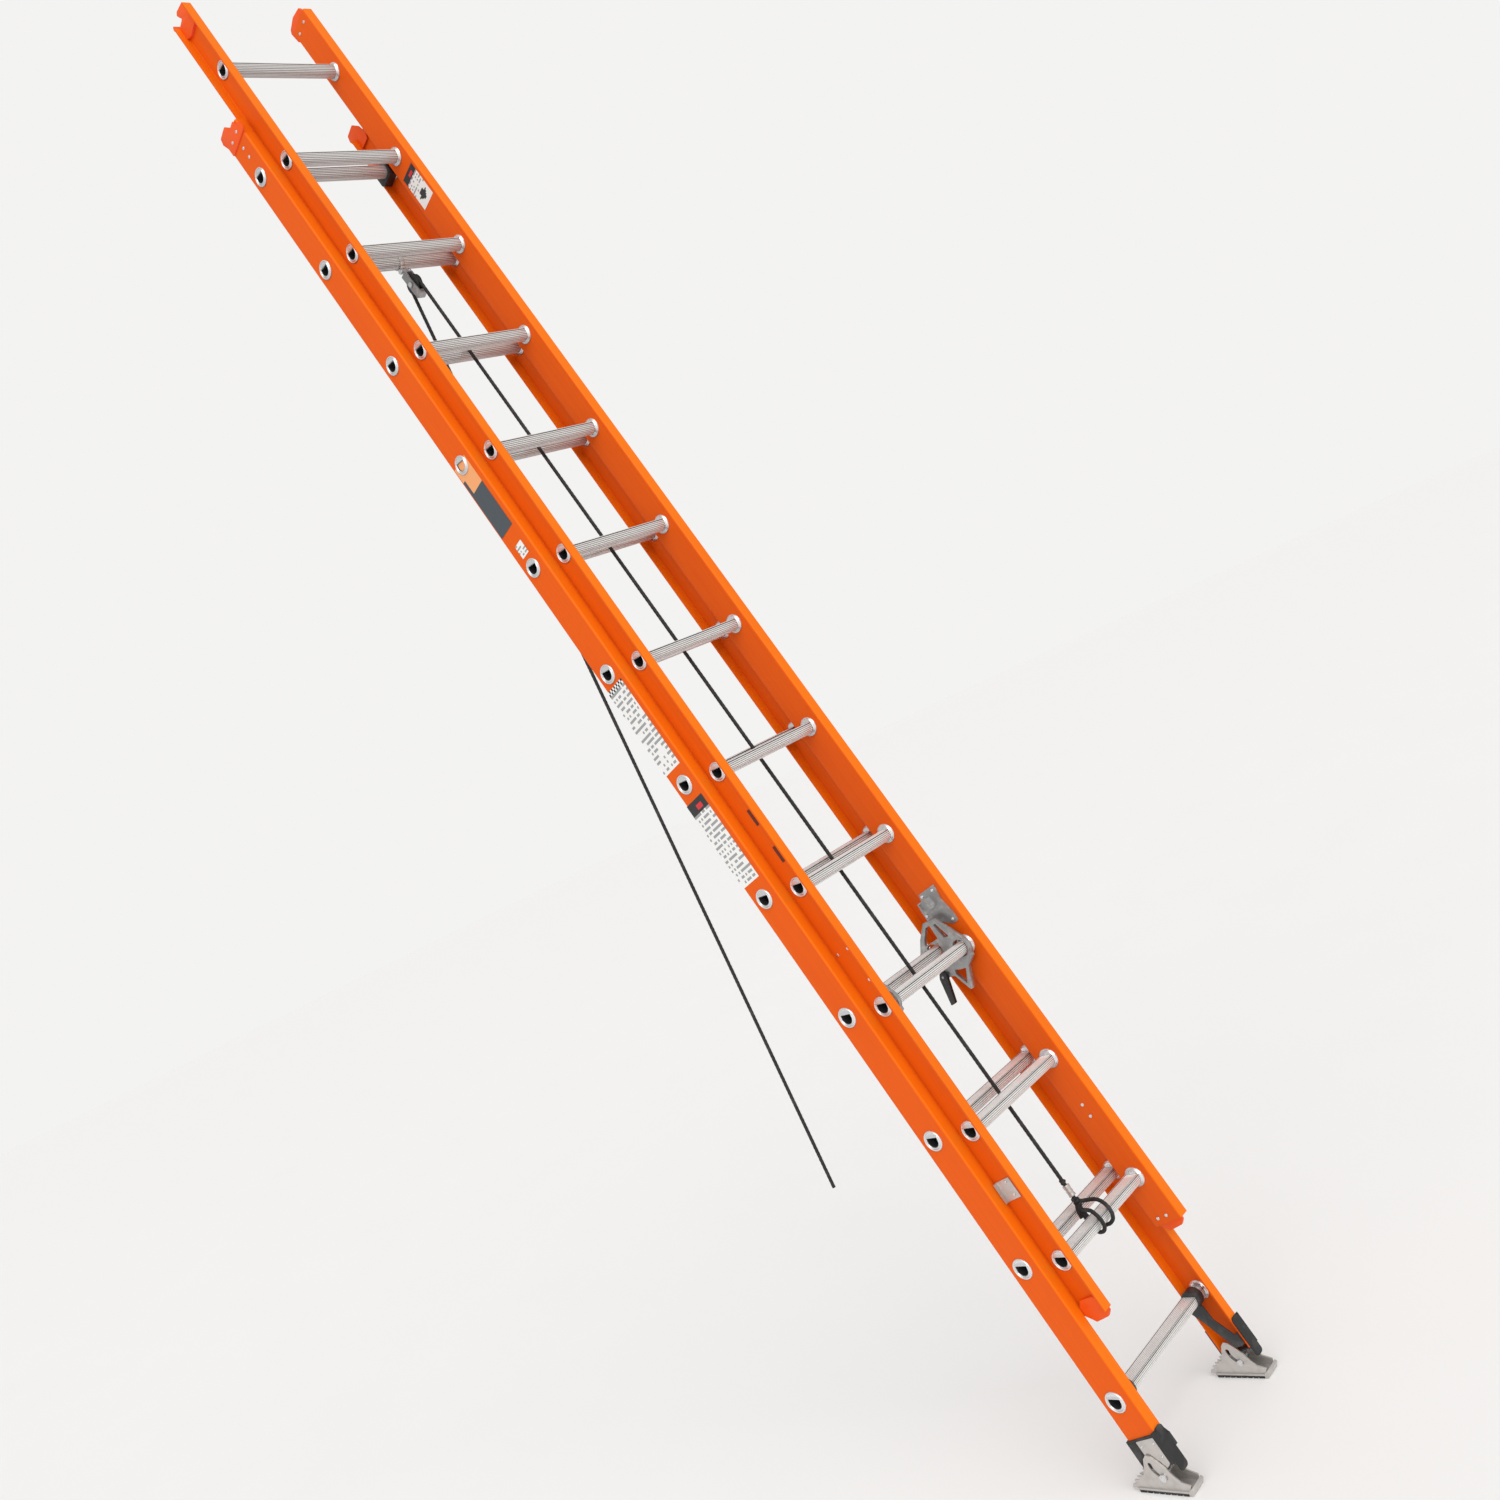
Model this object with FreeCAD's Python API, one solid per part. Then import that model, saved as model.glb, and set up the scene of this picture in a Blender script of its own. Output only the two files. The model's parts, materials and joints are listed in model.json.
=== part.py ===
import FreeCAD, Part
import os
from math import atan2, cos, degrees, hypot, pi, radians, sin, tan
from FreeCAD import Vector

# Two-section extension ladder, leaning back as it stands against a wall.
# Everything but the feet is drawn in the rail frame: X across the ladder, Y towards the wall,
# Z up the rails, Y = 0 on the fly rungs' axes and Z = 0 at the top rung of the base section.
# The feet are drawn level, from a point FOOT_RISE above the base rails' lower ends.

# driving sizes, millimetres and degrees
LEAN = 14.5
RUNG_PITCH = 304.8
RUNG_COUNT = 12
BASE_WIDTH = 395.0
SIDE_GAP = 8.5
WEB = 4.0
FLANGE = 4.0
BASE_FLANGE_WIDTH = 26.0
FLY_FLANGE_WIDTH = 26.0
BASE_FRONT = 42.0
BASE_REAR = 38.0
FLY_FRONT = 40.0
FLY_REAR = 40.0
SLIDE_GAP = 1.0
BASE_HEAD = 150.0
BASE_TAIL = 139.0
FLY_HEAD = 185.0
FLY_TAIL = 115.0
LOCK_STEP = 23.6
RAIL_ROUND = 5.0
RAIL_FILLET = 1.5

RUNG_R = 17.0
RUNG_WALL = 2.4
TREAD_HEIGHT = 10.0
TREAD_GROOVES = 7
GROOVE_WIDTH = 1.6
GROOVE_DEPTH = 0.9
RUNG_FIT = 0.1
FERRULE_RIM = 6.0
FERRULE_WIDTH = 4.0
FERRULE_EDGE = 1.5
RUNG_PROUD = 5.0

PLATE = 3.0
RIVET_R = 4.0
RIVET_HEAD = 2.2
RIVET_DOME = 0.6
BRACKET_RIVET_R = 2.5

FOOT_RISE = 139.0
SOLE_DROP = 193.0
SOLE_PLATE = 4.0
PAD_THICK = 6.0
EAR_THICK = 3.0
EAR_GAP = 1.2
BOLT_Y = -37.5
BOLT_DROP = 157.0
SLOT_Y = -17.0
SLOT_DROP = 131.3
BOLT_R = 4.0
BOLT_CLEAR = 0.4
BOLT_PLAY = 0.5
BOLT_HEAD = 1.9
PULLEY_BOLT_HEAD = 3.0
FOOT_BOLT_HEAD = 4.0
NUT_CORNER = 1.8
FLIP_ANGLE = 75.5

ROPE_R = 4.5
SHEAVE_GROOVE_R = 21.0
SHEAVE_R = 24.5
SHEAVE_WIDTH = 13.0
SHEAVE_BORE_R = 4.0
AXLE_CLEAR = 0.06
ROPE_CLEAR = 0.3
PULLEY_X = 15.0
PULLEY_BOLT_GAP = 13.0
PULLEY_REACH = 46.0
PULLEY_TILT = -3.0
TAIL_LENGTH = 2530.0
ROPE_FOOT_Y = 36.0
ROPE_FOOT_X = 5.0
ROPE_FOOT_RISE = 97.0
ROPE_END_GAP = 0.5

LOCK_RUNG = 9
LOCK_WIDTH = 9.0
LOCK_GAP = 13.0
LOCK_SEAT_CLEAR = 0.5
LOCK_EYE_WALL = 11.0

# places that follow from them
BASE_PLANE = FLY_REAR - FLANGE - SLIDE_GAP - FLANGE + BASE_FRONT
BASE_OUTER = BASE_WIDTH / 2
BASE_INNER = BASE_OUTER - WEB
FLY_INNER = BASE_INNER - SIDE_GAP - FLY_FLANGE_WIDTH
FLY_OUTER = FLY_INNER + WEB
FLY_RUNG_OFFSET = RUNG_PITCH - LOCK_STEP
BASE_BOTTOM = -(RUNG_COUNT - 1) * RUNG_PITCH - BASE_TAIL
FLY_LAST_RUNG = FLY_RUNG_OFFSET - (RUNG_COUNT - 1) * RUNG_PITCH
FLY_BOTTOM = FLY_LAST_RUNG - FLY_TAIL
FLY_TOP = FLY_RUNG_OFFSET + FLY_HEAD
FOOT_Z = BASE_BOTTOM + FOOT_RISE
FERRULE_R = RUNG_R + FERRULE_RIM
RUNG_CORNER = hypot(RUNG_R, TREAD_HEIGHT)
PULLEY_BOLT_DROP = RUNG_R + PULLEY_BOLT_GAP
PULLEY_DROP = PULLEY_BOLT_DROP + PULLEY_REACH
CUT = 1.0
TOUCH = 0.01
SIDES = {"left": -1, "right": 1}
X_AXIS = Vector(1, 0, 0)


def base_rung_z(number):
    return -(number - 1) * RUNG_PITCH


def fly_rung_z(number):
    return FLY_RUNG_OFFSET - (number - 1) * RUNG_PITCH


def box(x, y, z):
    """A block between the pairs x, y and z, each (low, high)."""
    return Part.makeBox(x[1] - x[0], y[1] - y[0], z[1] - z[0], Vector(x[0], y[0], z[0]))


def rod_x(x0, x1, y, z, radius):
    """A round bar along X."""
    low, high = min(x0, x1), max(x0, x1)
    return Part.makeCylinder(radius, high - low, Vector(low, y, z), X_AXIS)


def sheet(outline, x0, x1, round_r=0.0):
    """A flat plate: an outline of (y, z) corners, thick from x0 to x1, its corners rounded."""
    low, high = min(x0, x1), max(x0, x1)
    points = [Vector(low, y, z) for y, z in outline]
    solid = Part.Face(Part.makePolygon(points + points[:1])).extrude(Vector(high - low, 0, 0))
    if round_r:
        corners = [e for e in solid.Edges if abs(e.tangentAt(e.FirstParameter).x) > 0.99]
        solid = solid.makeFillet(round_r, corners)
    return solid


def mirrored(shape, side):
    """The shape drawn for the right-hand side, or its mirror image on the left."""
    return shape if side == "right" else shape.mirror(Vector(0, 0, 0), X_AXIS)


def group(shapes):
    """Separate solids that share one node."""
    return Part.makeCompound([solid for shape in shapes for solid in shape.Solids])


def level(y, z):
    """A point of the level frame the feet are drawn in, as (y, z) in the rail frame."""
    lean = radians(LEAN)
    return BASE_PLANE + y * cos(lean) - z * sin(lean), FOOT_Z + y * sin(lean) + z * cos(lean)


def level_shape(shape):
    """A foot's shape, drawn level, moved into the rail frame."""
    turned = shape.copy()
    turned.rotate(Vector(0, 0, 0), X_AXIS, LEAN)
    turned.translate(Vector(0, BASE_PLANE, FOOT_Z))
    return turned


# rails

def channel(inner_x, outer_x, web_outside, y, z, flange_width):
    """A C-shaped rail for the right-hand side, web on its outer or inner side."""
    web_face, web_back = (outer_x, inner_x) if web_outside else (inner_x, outer_x)
    direction = 1 if web_outside else -1
    tip = web_face - direction * flange_width
    block = box(sorted((web_face, tip)), y, z)
    corner = [e for e in block.Edges if is_upright_at(e, web_face)]
    block = block.makeFillet(RAIL_ROUND, corner)
    hollow = box(sorted((web_back, tip - direction)), (y[0] + FLANGE, y[1] - FLANGE), z)
    inner = [e for e in hollow.Edges if is_upright_at(e, web_back)]
    return block.cut(hollow.makeFillet(RAIL_FILLET, inner))


def is_upright_at(edge, x):
    middle = edge.CenterOfMass
    along = edge.tangentAt(edge.FirstParameter)
    return abs(along.z) > 0.99 and abs(middle.x - x) < TOUCH


def rung_face(radius, tread, grooved=False):
    """The rung's D section about the origin, in the YZ plane, its tread level when it leans."""
    side = Vector(0, radius, 0)
    arc = Part.Arc(Vector(0, -radius, 0), Vector(0, 0, -radius), side).toShape()
    top = [Vector(0, radius, tread)]
    if grooved:
        step = 2 * radius / (TREAD_GROOVES + 1)
        for k in range(TREAD_GROOVES):
            middle = radius - (k + 1) * step
            near, far = middle + GROOVE_WIDTH / 2, middle - GROOVE_WIDTH / 2
            top += [Vector(0, near, tread), Vector(0, near, tread - GROOVE_DEPTH)]
            top += [Vector(0, far, tread - GROOVE_DEPTH), Vector(0, far, tread)]
    top += [Vector(0, -radius, tread)]
    edges = Part.makePolygon([side] + top + [Vector(0, -radius, 0)]).Edges
    face = Part.Face(Part.Wire([arc] + edges))
    face.rotate(Vector(0, 0, 0), X_AXIS, LEAN)
    return face


def rung_bar(radius, tread, x0, x1, y, z, grooved=False):
    """A solid bar of the rung's section from x0 to x1."""
    bar = rung_face(radius, tread, grooved).extrude(Vector(x1 - x0, 0, 0))
    bar.translate(Vector(x0, y, z))
    return bar


def rung(half_length, y, z):
    """A hollow D rung with a ribbed tread."""
    skin = rung_bar(RUNG_R, TREAD_HEIGHT, -half_length, half_length, y, z, grooved=True)
    bore = rung_bar(RUNG_R - RUNG_WALL, TREAD_HEIGHT - RUNG_WALL, -half_length, half_length, y, z)
    return skin.cut(bore)


def rung_hole(x0, x1, y, z):
    """The clearance cut for a rung."""
    return rung_bar(RUNG_R + RUNG_FIT, TREAD_HEIGHT + RUNG_FIT, x0, x1, y, z)


def rails(heights, y, make):
    """A left and a right rail with the rung holes through their webs."""
    blank = make()
    holes = [rung_hole(0, BASE_OUTER + CUT, y, z) for z in heights]
    right = blank.cut(holes)
    return {side: mirrored(right, side) for side in SIDES}


def ferrule(x, y, z, outward):
    """A swaged ring that holds a rung's end against the web at x."""
    start, end = sorted((x, x + outward * FERRULE_WIDTH))
    ring = rod_x(start, end, y, z, FERRULE_R)
    free = [e for e in ring.Edges if abs(e.CenterOfMass.x - (x + outward * FERRULE_WIDTH)) < TOUCH]
    return ring.makeChamfer(FERRULE_EDGE, free).cut(rung_hole(start - CUT, end + CUT, y, z))


def ferrules(heights, y, inner, outer):
    """The rings of one section, one each side of both webs at every rung."""
    shapes = []
    for z in heights:
        for side in SIDES:
            shapes += [mirrored(ferrule(inner, y, z, -1), side)]
            shapes += [mirrored(ferrule(outer, y, z, 1), side)]
    return group(shapes)


def base_rail_blank():
    y = (BASE_PLANE - BASE_FRONT, BASE_PLANE + BASE_REAR)
    z = (BASE_BOTTOM, BASE_HEAD)
    return channel(BASE_INNER, BASE_OUTER, True, y, z, BASE_FLANGE_WIDTH)


def fly_rail_blank():
    z = (FLY_BOTTOM, FLY_TOP)
    return channel(FLY_INNER, FLY_OUTER, False, (-FLY_FRONT, FLY_REAR), z, FLY_FLANGE_WIDTH)


# caps and brackets riveted to the rails

def rivet(x, y, z, outward, radius=RIVET_R):
    """A domed rivet head standing on a face at x."""
    head = rod_x(x, x + outward * RIVET_HEAD, y, z, radius)
    free = [e for e in head.Edges if abs(e.CenterOfMass.x - (x + outward * RIVET_HEAD)) < TOUCH]
    return head.makeFillet(RIVET_HEAD * RIVET_DOME, free)


# Outlines are (y, z) corners from the section's rung plane and the rail's own end.
BASE_CAP_OUTLINE = [(26, 1), (-32, 2), (-37, -13), (-54, -20), (-54, -42), (36, -42), (36, -18)]
BASE_CAP_RIVETS = [(-24, -24), (10, -24)]
BASE_GUIDE_RIVETS = [(-8, -62), (-7, -90)]
BASE_LOBE_OUTLINE = [(16, 36), (52, 34), (57, 18), (43, -18), (32, -30), (-2, -31), (-10, -16), (-2, 14)]
FLY_CAP_OUTLINES = {
    "left": [(-25, 20), (10, 28), (18, 23), (12, 8), (8, 2), (30, 0), (52, 27), (58, 19), (46, -22),
             (34, -39), (16, -47), (-18, -45), (-35, -26), (-35, -10)],
    "right": [(-25, 20), (10, 28), (16, 27), (44, 20), (50, 12), (46, -22),
              (34, -39), (16, -47), (-18, -45), (-35, -26), (-35, -10)]}
FLY_CAP_RIVETS = [(-16, -21), (20, -22)]
FLY_END_OUTLINE = [(-17, 31), (19, 31), (33, 17), (34, 1), (20, -11), (12, -19), (-24, -16), (-35, -7),
                   (-34, 7)]
FLY_END_RIVETS = [(17, 16), (-8, 16)]
CAP_ROUND = 4.0
CAP_THICK = 7.5
PLATE_ROUND = 2.5
CAP_BRIDGE_Y = (-2.0, 24.0)
CAP_BRIDGE_DROP = 10.0


def placed(outline, y, z):
    """An outline's corners, or a row of rivets, moved to its reference point."""
    return [(y + dy, z + dz) for dy, dz in outline]


def base_top_cap():
    """A guide plate on the outside of the web that also hooks round the fly rail's edge."""
    outer, tip = BASE_OUTER + PLATE, BASE_HEAD + PLATE
    outline = placed(BASE_CAP_OUTLINE, BASE_PLANE, BASE_HEAD)
    plate = sheet(outline, BASE_OUTER, outer, PLATE_ROUND)
    lobe_x = BASE_INNER - FLANGE
    lobe = sheet(placed(BASE_LOBE_OUTLINE, BASE_PLANE, BASE_HEAD), lobe_x, lobe_x - PLATE, CAP_ROUND)
    y = (BASE_PLANE + CAP_BRIDGE_Y[0], BASE_PLANE + CAP_BRIDGE_Y[1])
    bridge = box((lobe_x, outer), y, (BASE_HEAD, tip))
    block = box((BASE_OUTER, outer), y, (BASE_HEAD - CAP_BRIDGE_DROP, tip))
    return plate.fuse([lobe, bridge, block]).cut(base_rail_blank()).removeSplitter()


def fly_top_cap(side):
    """A moulded cap in the fly rail's open side; the left one has a notch in its rear edge."""
    outline = placed(FLY_CAP_OUTLINES[side], 0, FLY_TOP)
    return sheet(outline, FLY_OUTER, FLY_OUTER + CAP_THICK, PLATE_ROUND).cut(fly_rail_blank())


def fly_end_cap():
    """A guide shoe at the lower end of the fly rail."""
    outline = placed(FLY_END_OUTLINE, 0, FLY_BOTTOM)
    return sheet(outline, FLY_OUTER, FLY_OUTER + CAP_THICK, CAP_ROUND).cut(fly_rail_blank())


STOP_Y = (-13.0, 28.0)
STOP_RISE = (146.0, 191.0)
STOP_RIVETS = [(1, 184), (1, 155)]
STOP_LIP = 12.0


def stop_bracket():
    """An angle on the outside of the fly web that meets the base rail's stop at full reach."""
    z = (FLY_LAST_RUNG + STOP_RISE[0], FLY_LAST_RUNG + STOP_RISE[1])
    plate = box((FLY_OUTER, FLY_OUTER + PLATE), STOP_Y, z)
    lip = box((FLY_OUTER, FLY_OUTER + STOP_LIP), (STOP_Y[1] - PLATE, STOP_Y[1]), z)
    return plate.fuse(lip).removeSplitter()


# from the fly rung that the lock turns on
LOCK_EYE_Z = fly_rung_z(LOCK_RUNG + 1)
LOCK_X = FLY_INNER - PLATE - LOCK_GAP
LOCK_ROUND = 2.0
LOCK_BRACKET_OUTLINE = [(-27, 149), (29, 149), (34, 132), (52, 121), (54, 91), (40, 86), (4, 60), (-8, 52),
                        (-25, 53), (-27, 73), (-20, 112)]
LOCK_GUIDE_Y = (5.0, 30.0)
LOCK_GUIDE_RISE = (107.0, 133.0)
LOCK_GUIDE_WALL = 3.0
LOCK_GUIDE_POCKET = 6.0
LOCK_BRACKET_RIVETS = [(-14, 140), (23, 141), (-14, 62), (45, 100)]


def lock_bracket():
    """The riveted plate that backs the rung lock, with a raised guide above the lock's top."""
    front, crown = FLY_INNER - PLATE, LOCK_X - LOCK_WIDTH
    plate = sheet(placed(LOCK_BRACKET_OUTLINE, 0, LOCK_EYE_Z), front, FLY_INNER, LOCK_ROUND)
    (y0, y1), wall = LOCK_GUIDE_Y, LOCK_GUIDE_WALL
    z0, z1 = LOCK_EYE_Z + LOCK_GUIDE_RISE[0], LOCK_EYE_Z + LOCK_GUIDE_RISE[1]
    guide = box((crown, front), (y0, y1), (z0, z1))
    pocket = box((crown - CUT, crown + LOCK_GUIDE_POCKET), (y0 + wall, y1 - wall), (z0 + wall, z1 - wall))
    return plate.fuse(guide.cut(pocket)).removeSplitter()


# rung lock, drawn for the right-hand rail, from the base rung that its hook sits over

LOCK_Z = base_rung_z(LOCK_RUNG)
LOCK_OUTLINE = [(-57, 63), (-23, 68), (13, 42), (40, 14), (44, 3), (33, 3), (24, 14), (-26, 14),
                (-26, -20), (6, -44), (20, -46), (18, -60), (-10, -68), (-26, -111), (-33, -112), (-62, -66),
                (-91, -52), (-94, -2)]
LOCK_WINDOWS = [[(-54, 52), (-46, 52), (-50, 16), (-66, 12)],
                [(-36, 56), (-22, 56), (3, 36), (14, 22), (-34, 22)],
                [(-52, -66), (-34, -62), (-20, -56), (-16, -66), (-27, -98)]]
FLIPPER_PIVOT = (16.0, -56.0)
FLIPPER_OUTLINE = [(2, -54), (8, -44), (20, -46), (28, -56), (46, -119), (31, -119), (20.5, -95)]
FLIPPER_WIDTH = 8.0
FLIPPER_GAP = 0.6
FLIPPER_PIN_R = 3.0
FLIPPER_BOSS_R = 9.0


def rung_lock():
    """A cast hook that turns on a fly rung and sits over the base rung below it."""
    x0, x1 = LOCK_X - LOCK_WIDTH, LOCK_X
    body = sheet(placed(LOCK_OUTLINE, BASE_PLANE, LOCK_Z), x0, x1)
    eye = rod_x(x0, x1, 0, LOCK_EYE_Z, RUNG_R + LOCK_EYE_WALL)
    seat_r = RUNG_CORNER + LOCK_SEAT_CLEAR
    seat = rod_x(x0 - CUT, x1 + CUT, BASE_PLANE, LOCK_Z, seat_r)
    swing = rod_x(x0 - CUT, x1 + CUT, 0, LOCK_EYE_Z, seat_r)
    windows = [sheet(placed(window, BASE_PLANE, LOCK_Z), x0 - CUT, x1 + CUT, LOCK_ROUND)
               for window in LOCK_WINDOWS]
    [(pin_y, pin_z)] = placed([FLIPPER_PIVOT], BASE_PLANE, LOCK_Z)
    boss = rod_x(x0, x1, pin_y, pin_z, FLIPPER_BOSS_R)
    pin = rod_x(x0 - FLIPPER_GAP - FLIPPER_WIDTH - FLIPPER_GAP, x0, pin_y, pin_z, FLIPPER_PIN_R)
    return body.fuse([eye, boss]).cut([seat, swing] + windows).fuse(pin).removeSplitter()


def flipper():
    """The pivoted tongue under the hook that carries it past a rung on the way down."""
    x1 = LOCK_X - LOCK_WIDTH - FLIPPER_GAP
    x0 = x1 - FLIPPER_WIDTH
    tongue = sheet(placed(FLIPPER_OUTLINE, BASE_PLANE, LOCK_Z), x0, x1, LOCK_ROUND)
    [(y, z)] = placed([FLIPPER_PIVOT], BASE_PLANE, LOCK_Z)
    return tongue.cut(rod_x(x0 - CUT, x1 + CUT, y, z, FLIPPER_PIN_R + AXLE_CLEAR))


# pulley, its rope and the knot

def hung(drop, ahead=0.0):
    """(y, z) on the pulley's own hanging line, drop below its rung and ahead in front of it."""
    tilt = radians(PULLEY_TILT)
    y = BASE_PLANE + drop * sin(tilt) - ahead * cos(tilt)
    return y, base_rung_z(2) - drop * cos(tilt) - ahead * sin(tilt)


SHEAVE_Y, SHEAVE_Z = hung(PULLEY_DROP)
BOLT_EYE_Y, BOLT_EYE_Z = hung(PULLEY_BOLT_DROP)
CHEEK_GAP = 1.0
BLOCK_INSIDE = SHEAVE_WIDTH / 2 + CHEEK_GAP
CHEEK = 4.0
STRAP_WIDTH = 14.0
STRAP_THICK = 2.0
STRAP_EAR_HALF = 6.0
STRAP_EAR_END = PULLEY_BOLT_DROP + 8.0
STRAP_SPLIT = 5.5
TONGUE_GAP = 0.5
TONGUE_HALF = 5.0
BLOCK_START = PULLEY_BOLT_DROP + 9.0
BLOCK_END = PULLEY_DROP + 36.0
BLOCK_HALF_DEPTH = 11.0
WINDOW_ABOVE = 8.0
WINDOW_BELOW = 2.0


def pulley_shape(x, low, high, half_depth):
    """A block on the pulley's hanging line between two drops below the rung."""
    corners = [hung(low, half_depth), hung(low, -half_depth), hung(high, -half_depth),
               hung(high, half_depth)]
    return sheet(corners, x[0], x[1])


def pulley_strap():
    """A steel band round the second rung, its two ends closed on a bolt below."""
    x = (PULLEY_X - STRAP_WIDTH / 2, PULLEY_X + STRAP_WIDTH / 2)
    grow = STRAP_THICK + RUNG_FIT
    y, z = BASE_PLANE, base_rung_z(2)
    band = rung_bar(RUNG_R + grow, TREAD_HEIGHT + grow, x[0], x[1], y, z)
    ends = pulley_shape(x, RUNG_R, STRAP_EAR_END, STRAP_EAR_HALF)
    split = (PULLEY_X - STRAP_SPLIT, PULLEY_X + STRAP_SPLIT)
    slot = pulley_shape(split, RUNG_R + STRAP_THICK * 3, STRAP_EAR_END + CUT, STRAP_EAR_HALF + CUT)
    hole = rod_x(x[0] - CUT, x[1] + CUT, BOLT_EYE_Y, BOLT_EYE_Z, BOLT_R + RUNG_FIT)
    return band.fuse(ends).cut([slot, hole, rung_hole(x[0] - CUT, x[1] + CUT, y, z)])


def pulley_block():
    """A forged fork: a tongue on the bolt, two cheeks and a bridge under the wheel."""
    half = BLOCK_INSIDE + CHEEK
    outside_x = (PULLEY_X - half, PULLEY_X + half)
    outside = pulley_shape(outside_x, BLOCK_START, BLOCK_END, BLOCK_HALF_DEPTH)
    tongue_x = (PULLEY_X - STRAP_SPLIT + TONGUE_GAP, PULLEY_X + STRAP_SPLIT - TONGUE_GAP)
    tongue = pulley_shape(tongue_x, PULLEY_BOLT_DROP - TONGUE_HALF, BLOCK_START + CUT, TONGUE_HALF)
    inside_x = (PULLEY_X - BLOCK_INSIDE, PULLEY_X + BLOCK_INSIDE)
    window = pulley_shape(inside_x, PULLEY_DROP - SHEAVE_R - WINDOW_ABOVE,
                          PULLEY_DROP + SHEAVE_R + WINDOW_BELOW, BLOCK_HALF_DEPTH + CUT)
    x0, x1 = outside_x[0] - CUT, outside_x[1] + CUT
    holes = [rod_x(x0, x1, SHEAVE_Y, SHEAVE_Z, SHEAVE_BORE_R + RUNG_FIT),
             rod_x(x0, x1, BOLT_EYE_Y, BOLT_EYE_Z, BOLT_R + RUNG_FIT)]
    return outside.fuse(tongue).cut([window] + holes).removeSplitter()


def sheave():
    """A grooved wheel."""

    def disc(half_width, radius):
        return rod_x(PULLEY_X - half_width, PULLEY_X + half_width, SHEAVE_Y, SHEAVE_Z, radius)

    wheel = disc(SHEAVE_WIDTH / 2, SHEAVE_R)
    throat = ROPE_R + ROPE_CLEAR
    groove = Part.makeTorus(SHEAVE_GROOVE_R, throat, Vector(PULLEY_X, SHEAVE_Y, SHEAVE_Z), X_AXIS)
    mouth = disc(throat, SHEAVE_R + CUT).cut(disc(throat + CUT, SHEAVE_GROOVE_R))
    return wheel.cut([mouth, groove, disc(SHEAVE_WIDTH, SHEAVE_BORE_R + AXLE_CLEAR)])


def bolt_x(x0, x1, y, z, radius, head):
    """A bolt along X with a round head at x1 and a hex nut at x0."""
    shank = rod_x(x0, x1, y, z, radius)
    top = rod_x(x1, x1 + head, y, z, radius * BOLT_HEAD)
    corner = radius * NUT_CORNER
    turns = [k * pi / 3 for k in range(7)]
    hexagon = Part.makePolygon([Vector(x0, y + corner * cos(t), z + corner * sin(t)) for t in turns])
    nut = Part.Face(hexagon).extrude(Vector(-head, 0, 0))
    return shank.fuse([top, nut]).removeSplitter()


def rope_pipe(edges, start, direction):
    """A round rope along a chain of straight runs and arcs."""
    path = Part.Wire(edges)
    section = Part.Wire(Part.makeCircle(ROPE_R, start, direction))
    pipe = path.makePipeShell([section], True, False)
    print("rope", round(path.Length, 1), "volume ratio",
          round(pipe.Volume / (pi * ROPE_R ** 2 * path.Length), 4))
    return pipe


def wheel_point(angle):
    """A point of the rope's middle line on the wheel, angle up from straight ahead."""
    turn = radians(angle)
    return Vector(PULLEY_X, SHEAVE_Y - SHEAVE_GROOVE_R * cos(turn),
                  SHEAVE_Z + SHEAVE_GROOVE_R * sin(turn))


ROPE_FOOT = Vector(ROPE_FOOT_X, ROPE_FOOT_Y, FLY_LAST_RUNG + ROPE_FOOT_RISE)
LEAVE = wheel_point(0)


def hoist_rope():
    """The taut strand from the pulley down to the knot on the fly's last rung."""
    end = ROPE_FOOT + Vector(0, 0, ROPE_END_GAP)
    return rope_pipe([Part.LineSegment(LEAVE, end).toShape()], LEAVE, end - LEAVE)


def rope_tail():
    """The strand that comes over the wheel and hangs straight down behind the ladder."""
    drop_angle = 180 - LEAN
    turn_off = wheel_point(drop_angle)
    over = Part.Arc(LEAVE, wheel_point(drop_angle / 2), turn_off).toShape()
    down = Vector(0, sin(radians(LEAN)), -cos(radians(LEAN)))
    end = turn_off + down * (TAIL_LENGTH - over.Length)
    print("rope arc radius", SHEAVE_GROOVE_R)
    return rope_pipe([over, Part.LineSegment(turn_off, end).toShape()], LEAVE, Vector(0, 0, 1))


KNOT_SLACK = 1.5
KNOT_LOOP_R = RUNG_CORNER + KNOT_SLACK + ROPE_R
KNOT_LOOP_X = (8.0, -24.0)
LOOP_TILT = 12.0
KNOT_R = 10.0
KNOT_RISE = 43.0
BUMP_R = 7.5
BUMP_LENGTH = 8.0
BUMP_ROUND = 3.0
TAIL_SHARE = 0.8
SLEEVE_ROUND = 1.5
SLEEVE_RISE = (59.0, 85.0)
SLEEVE_R = 8.0


def knot_point(x, rise):
    return Vector(x, ROPE_FOOT_Y, FLY_LAST_RUNG + rise)


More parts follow.
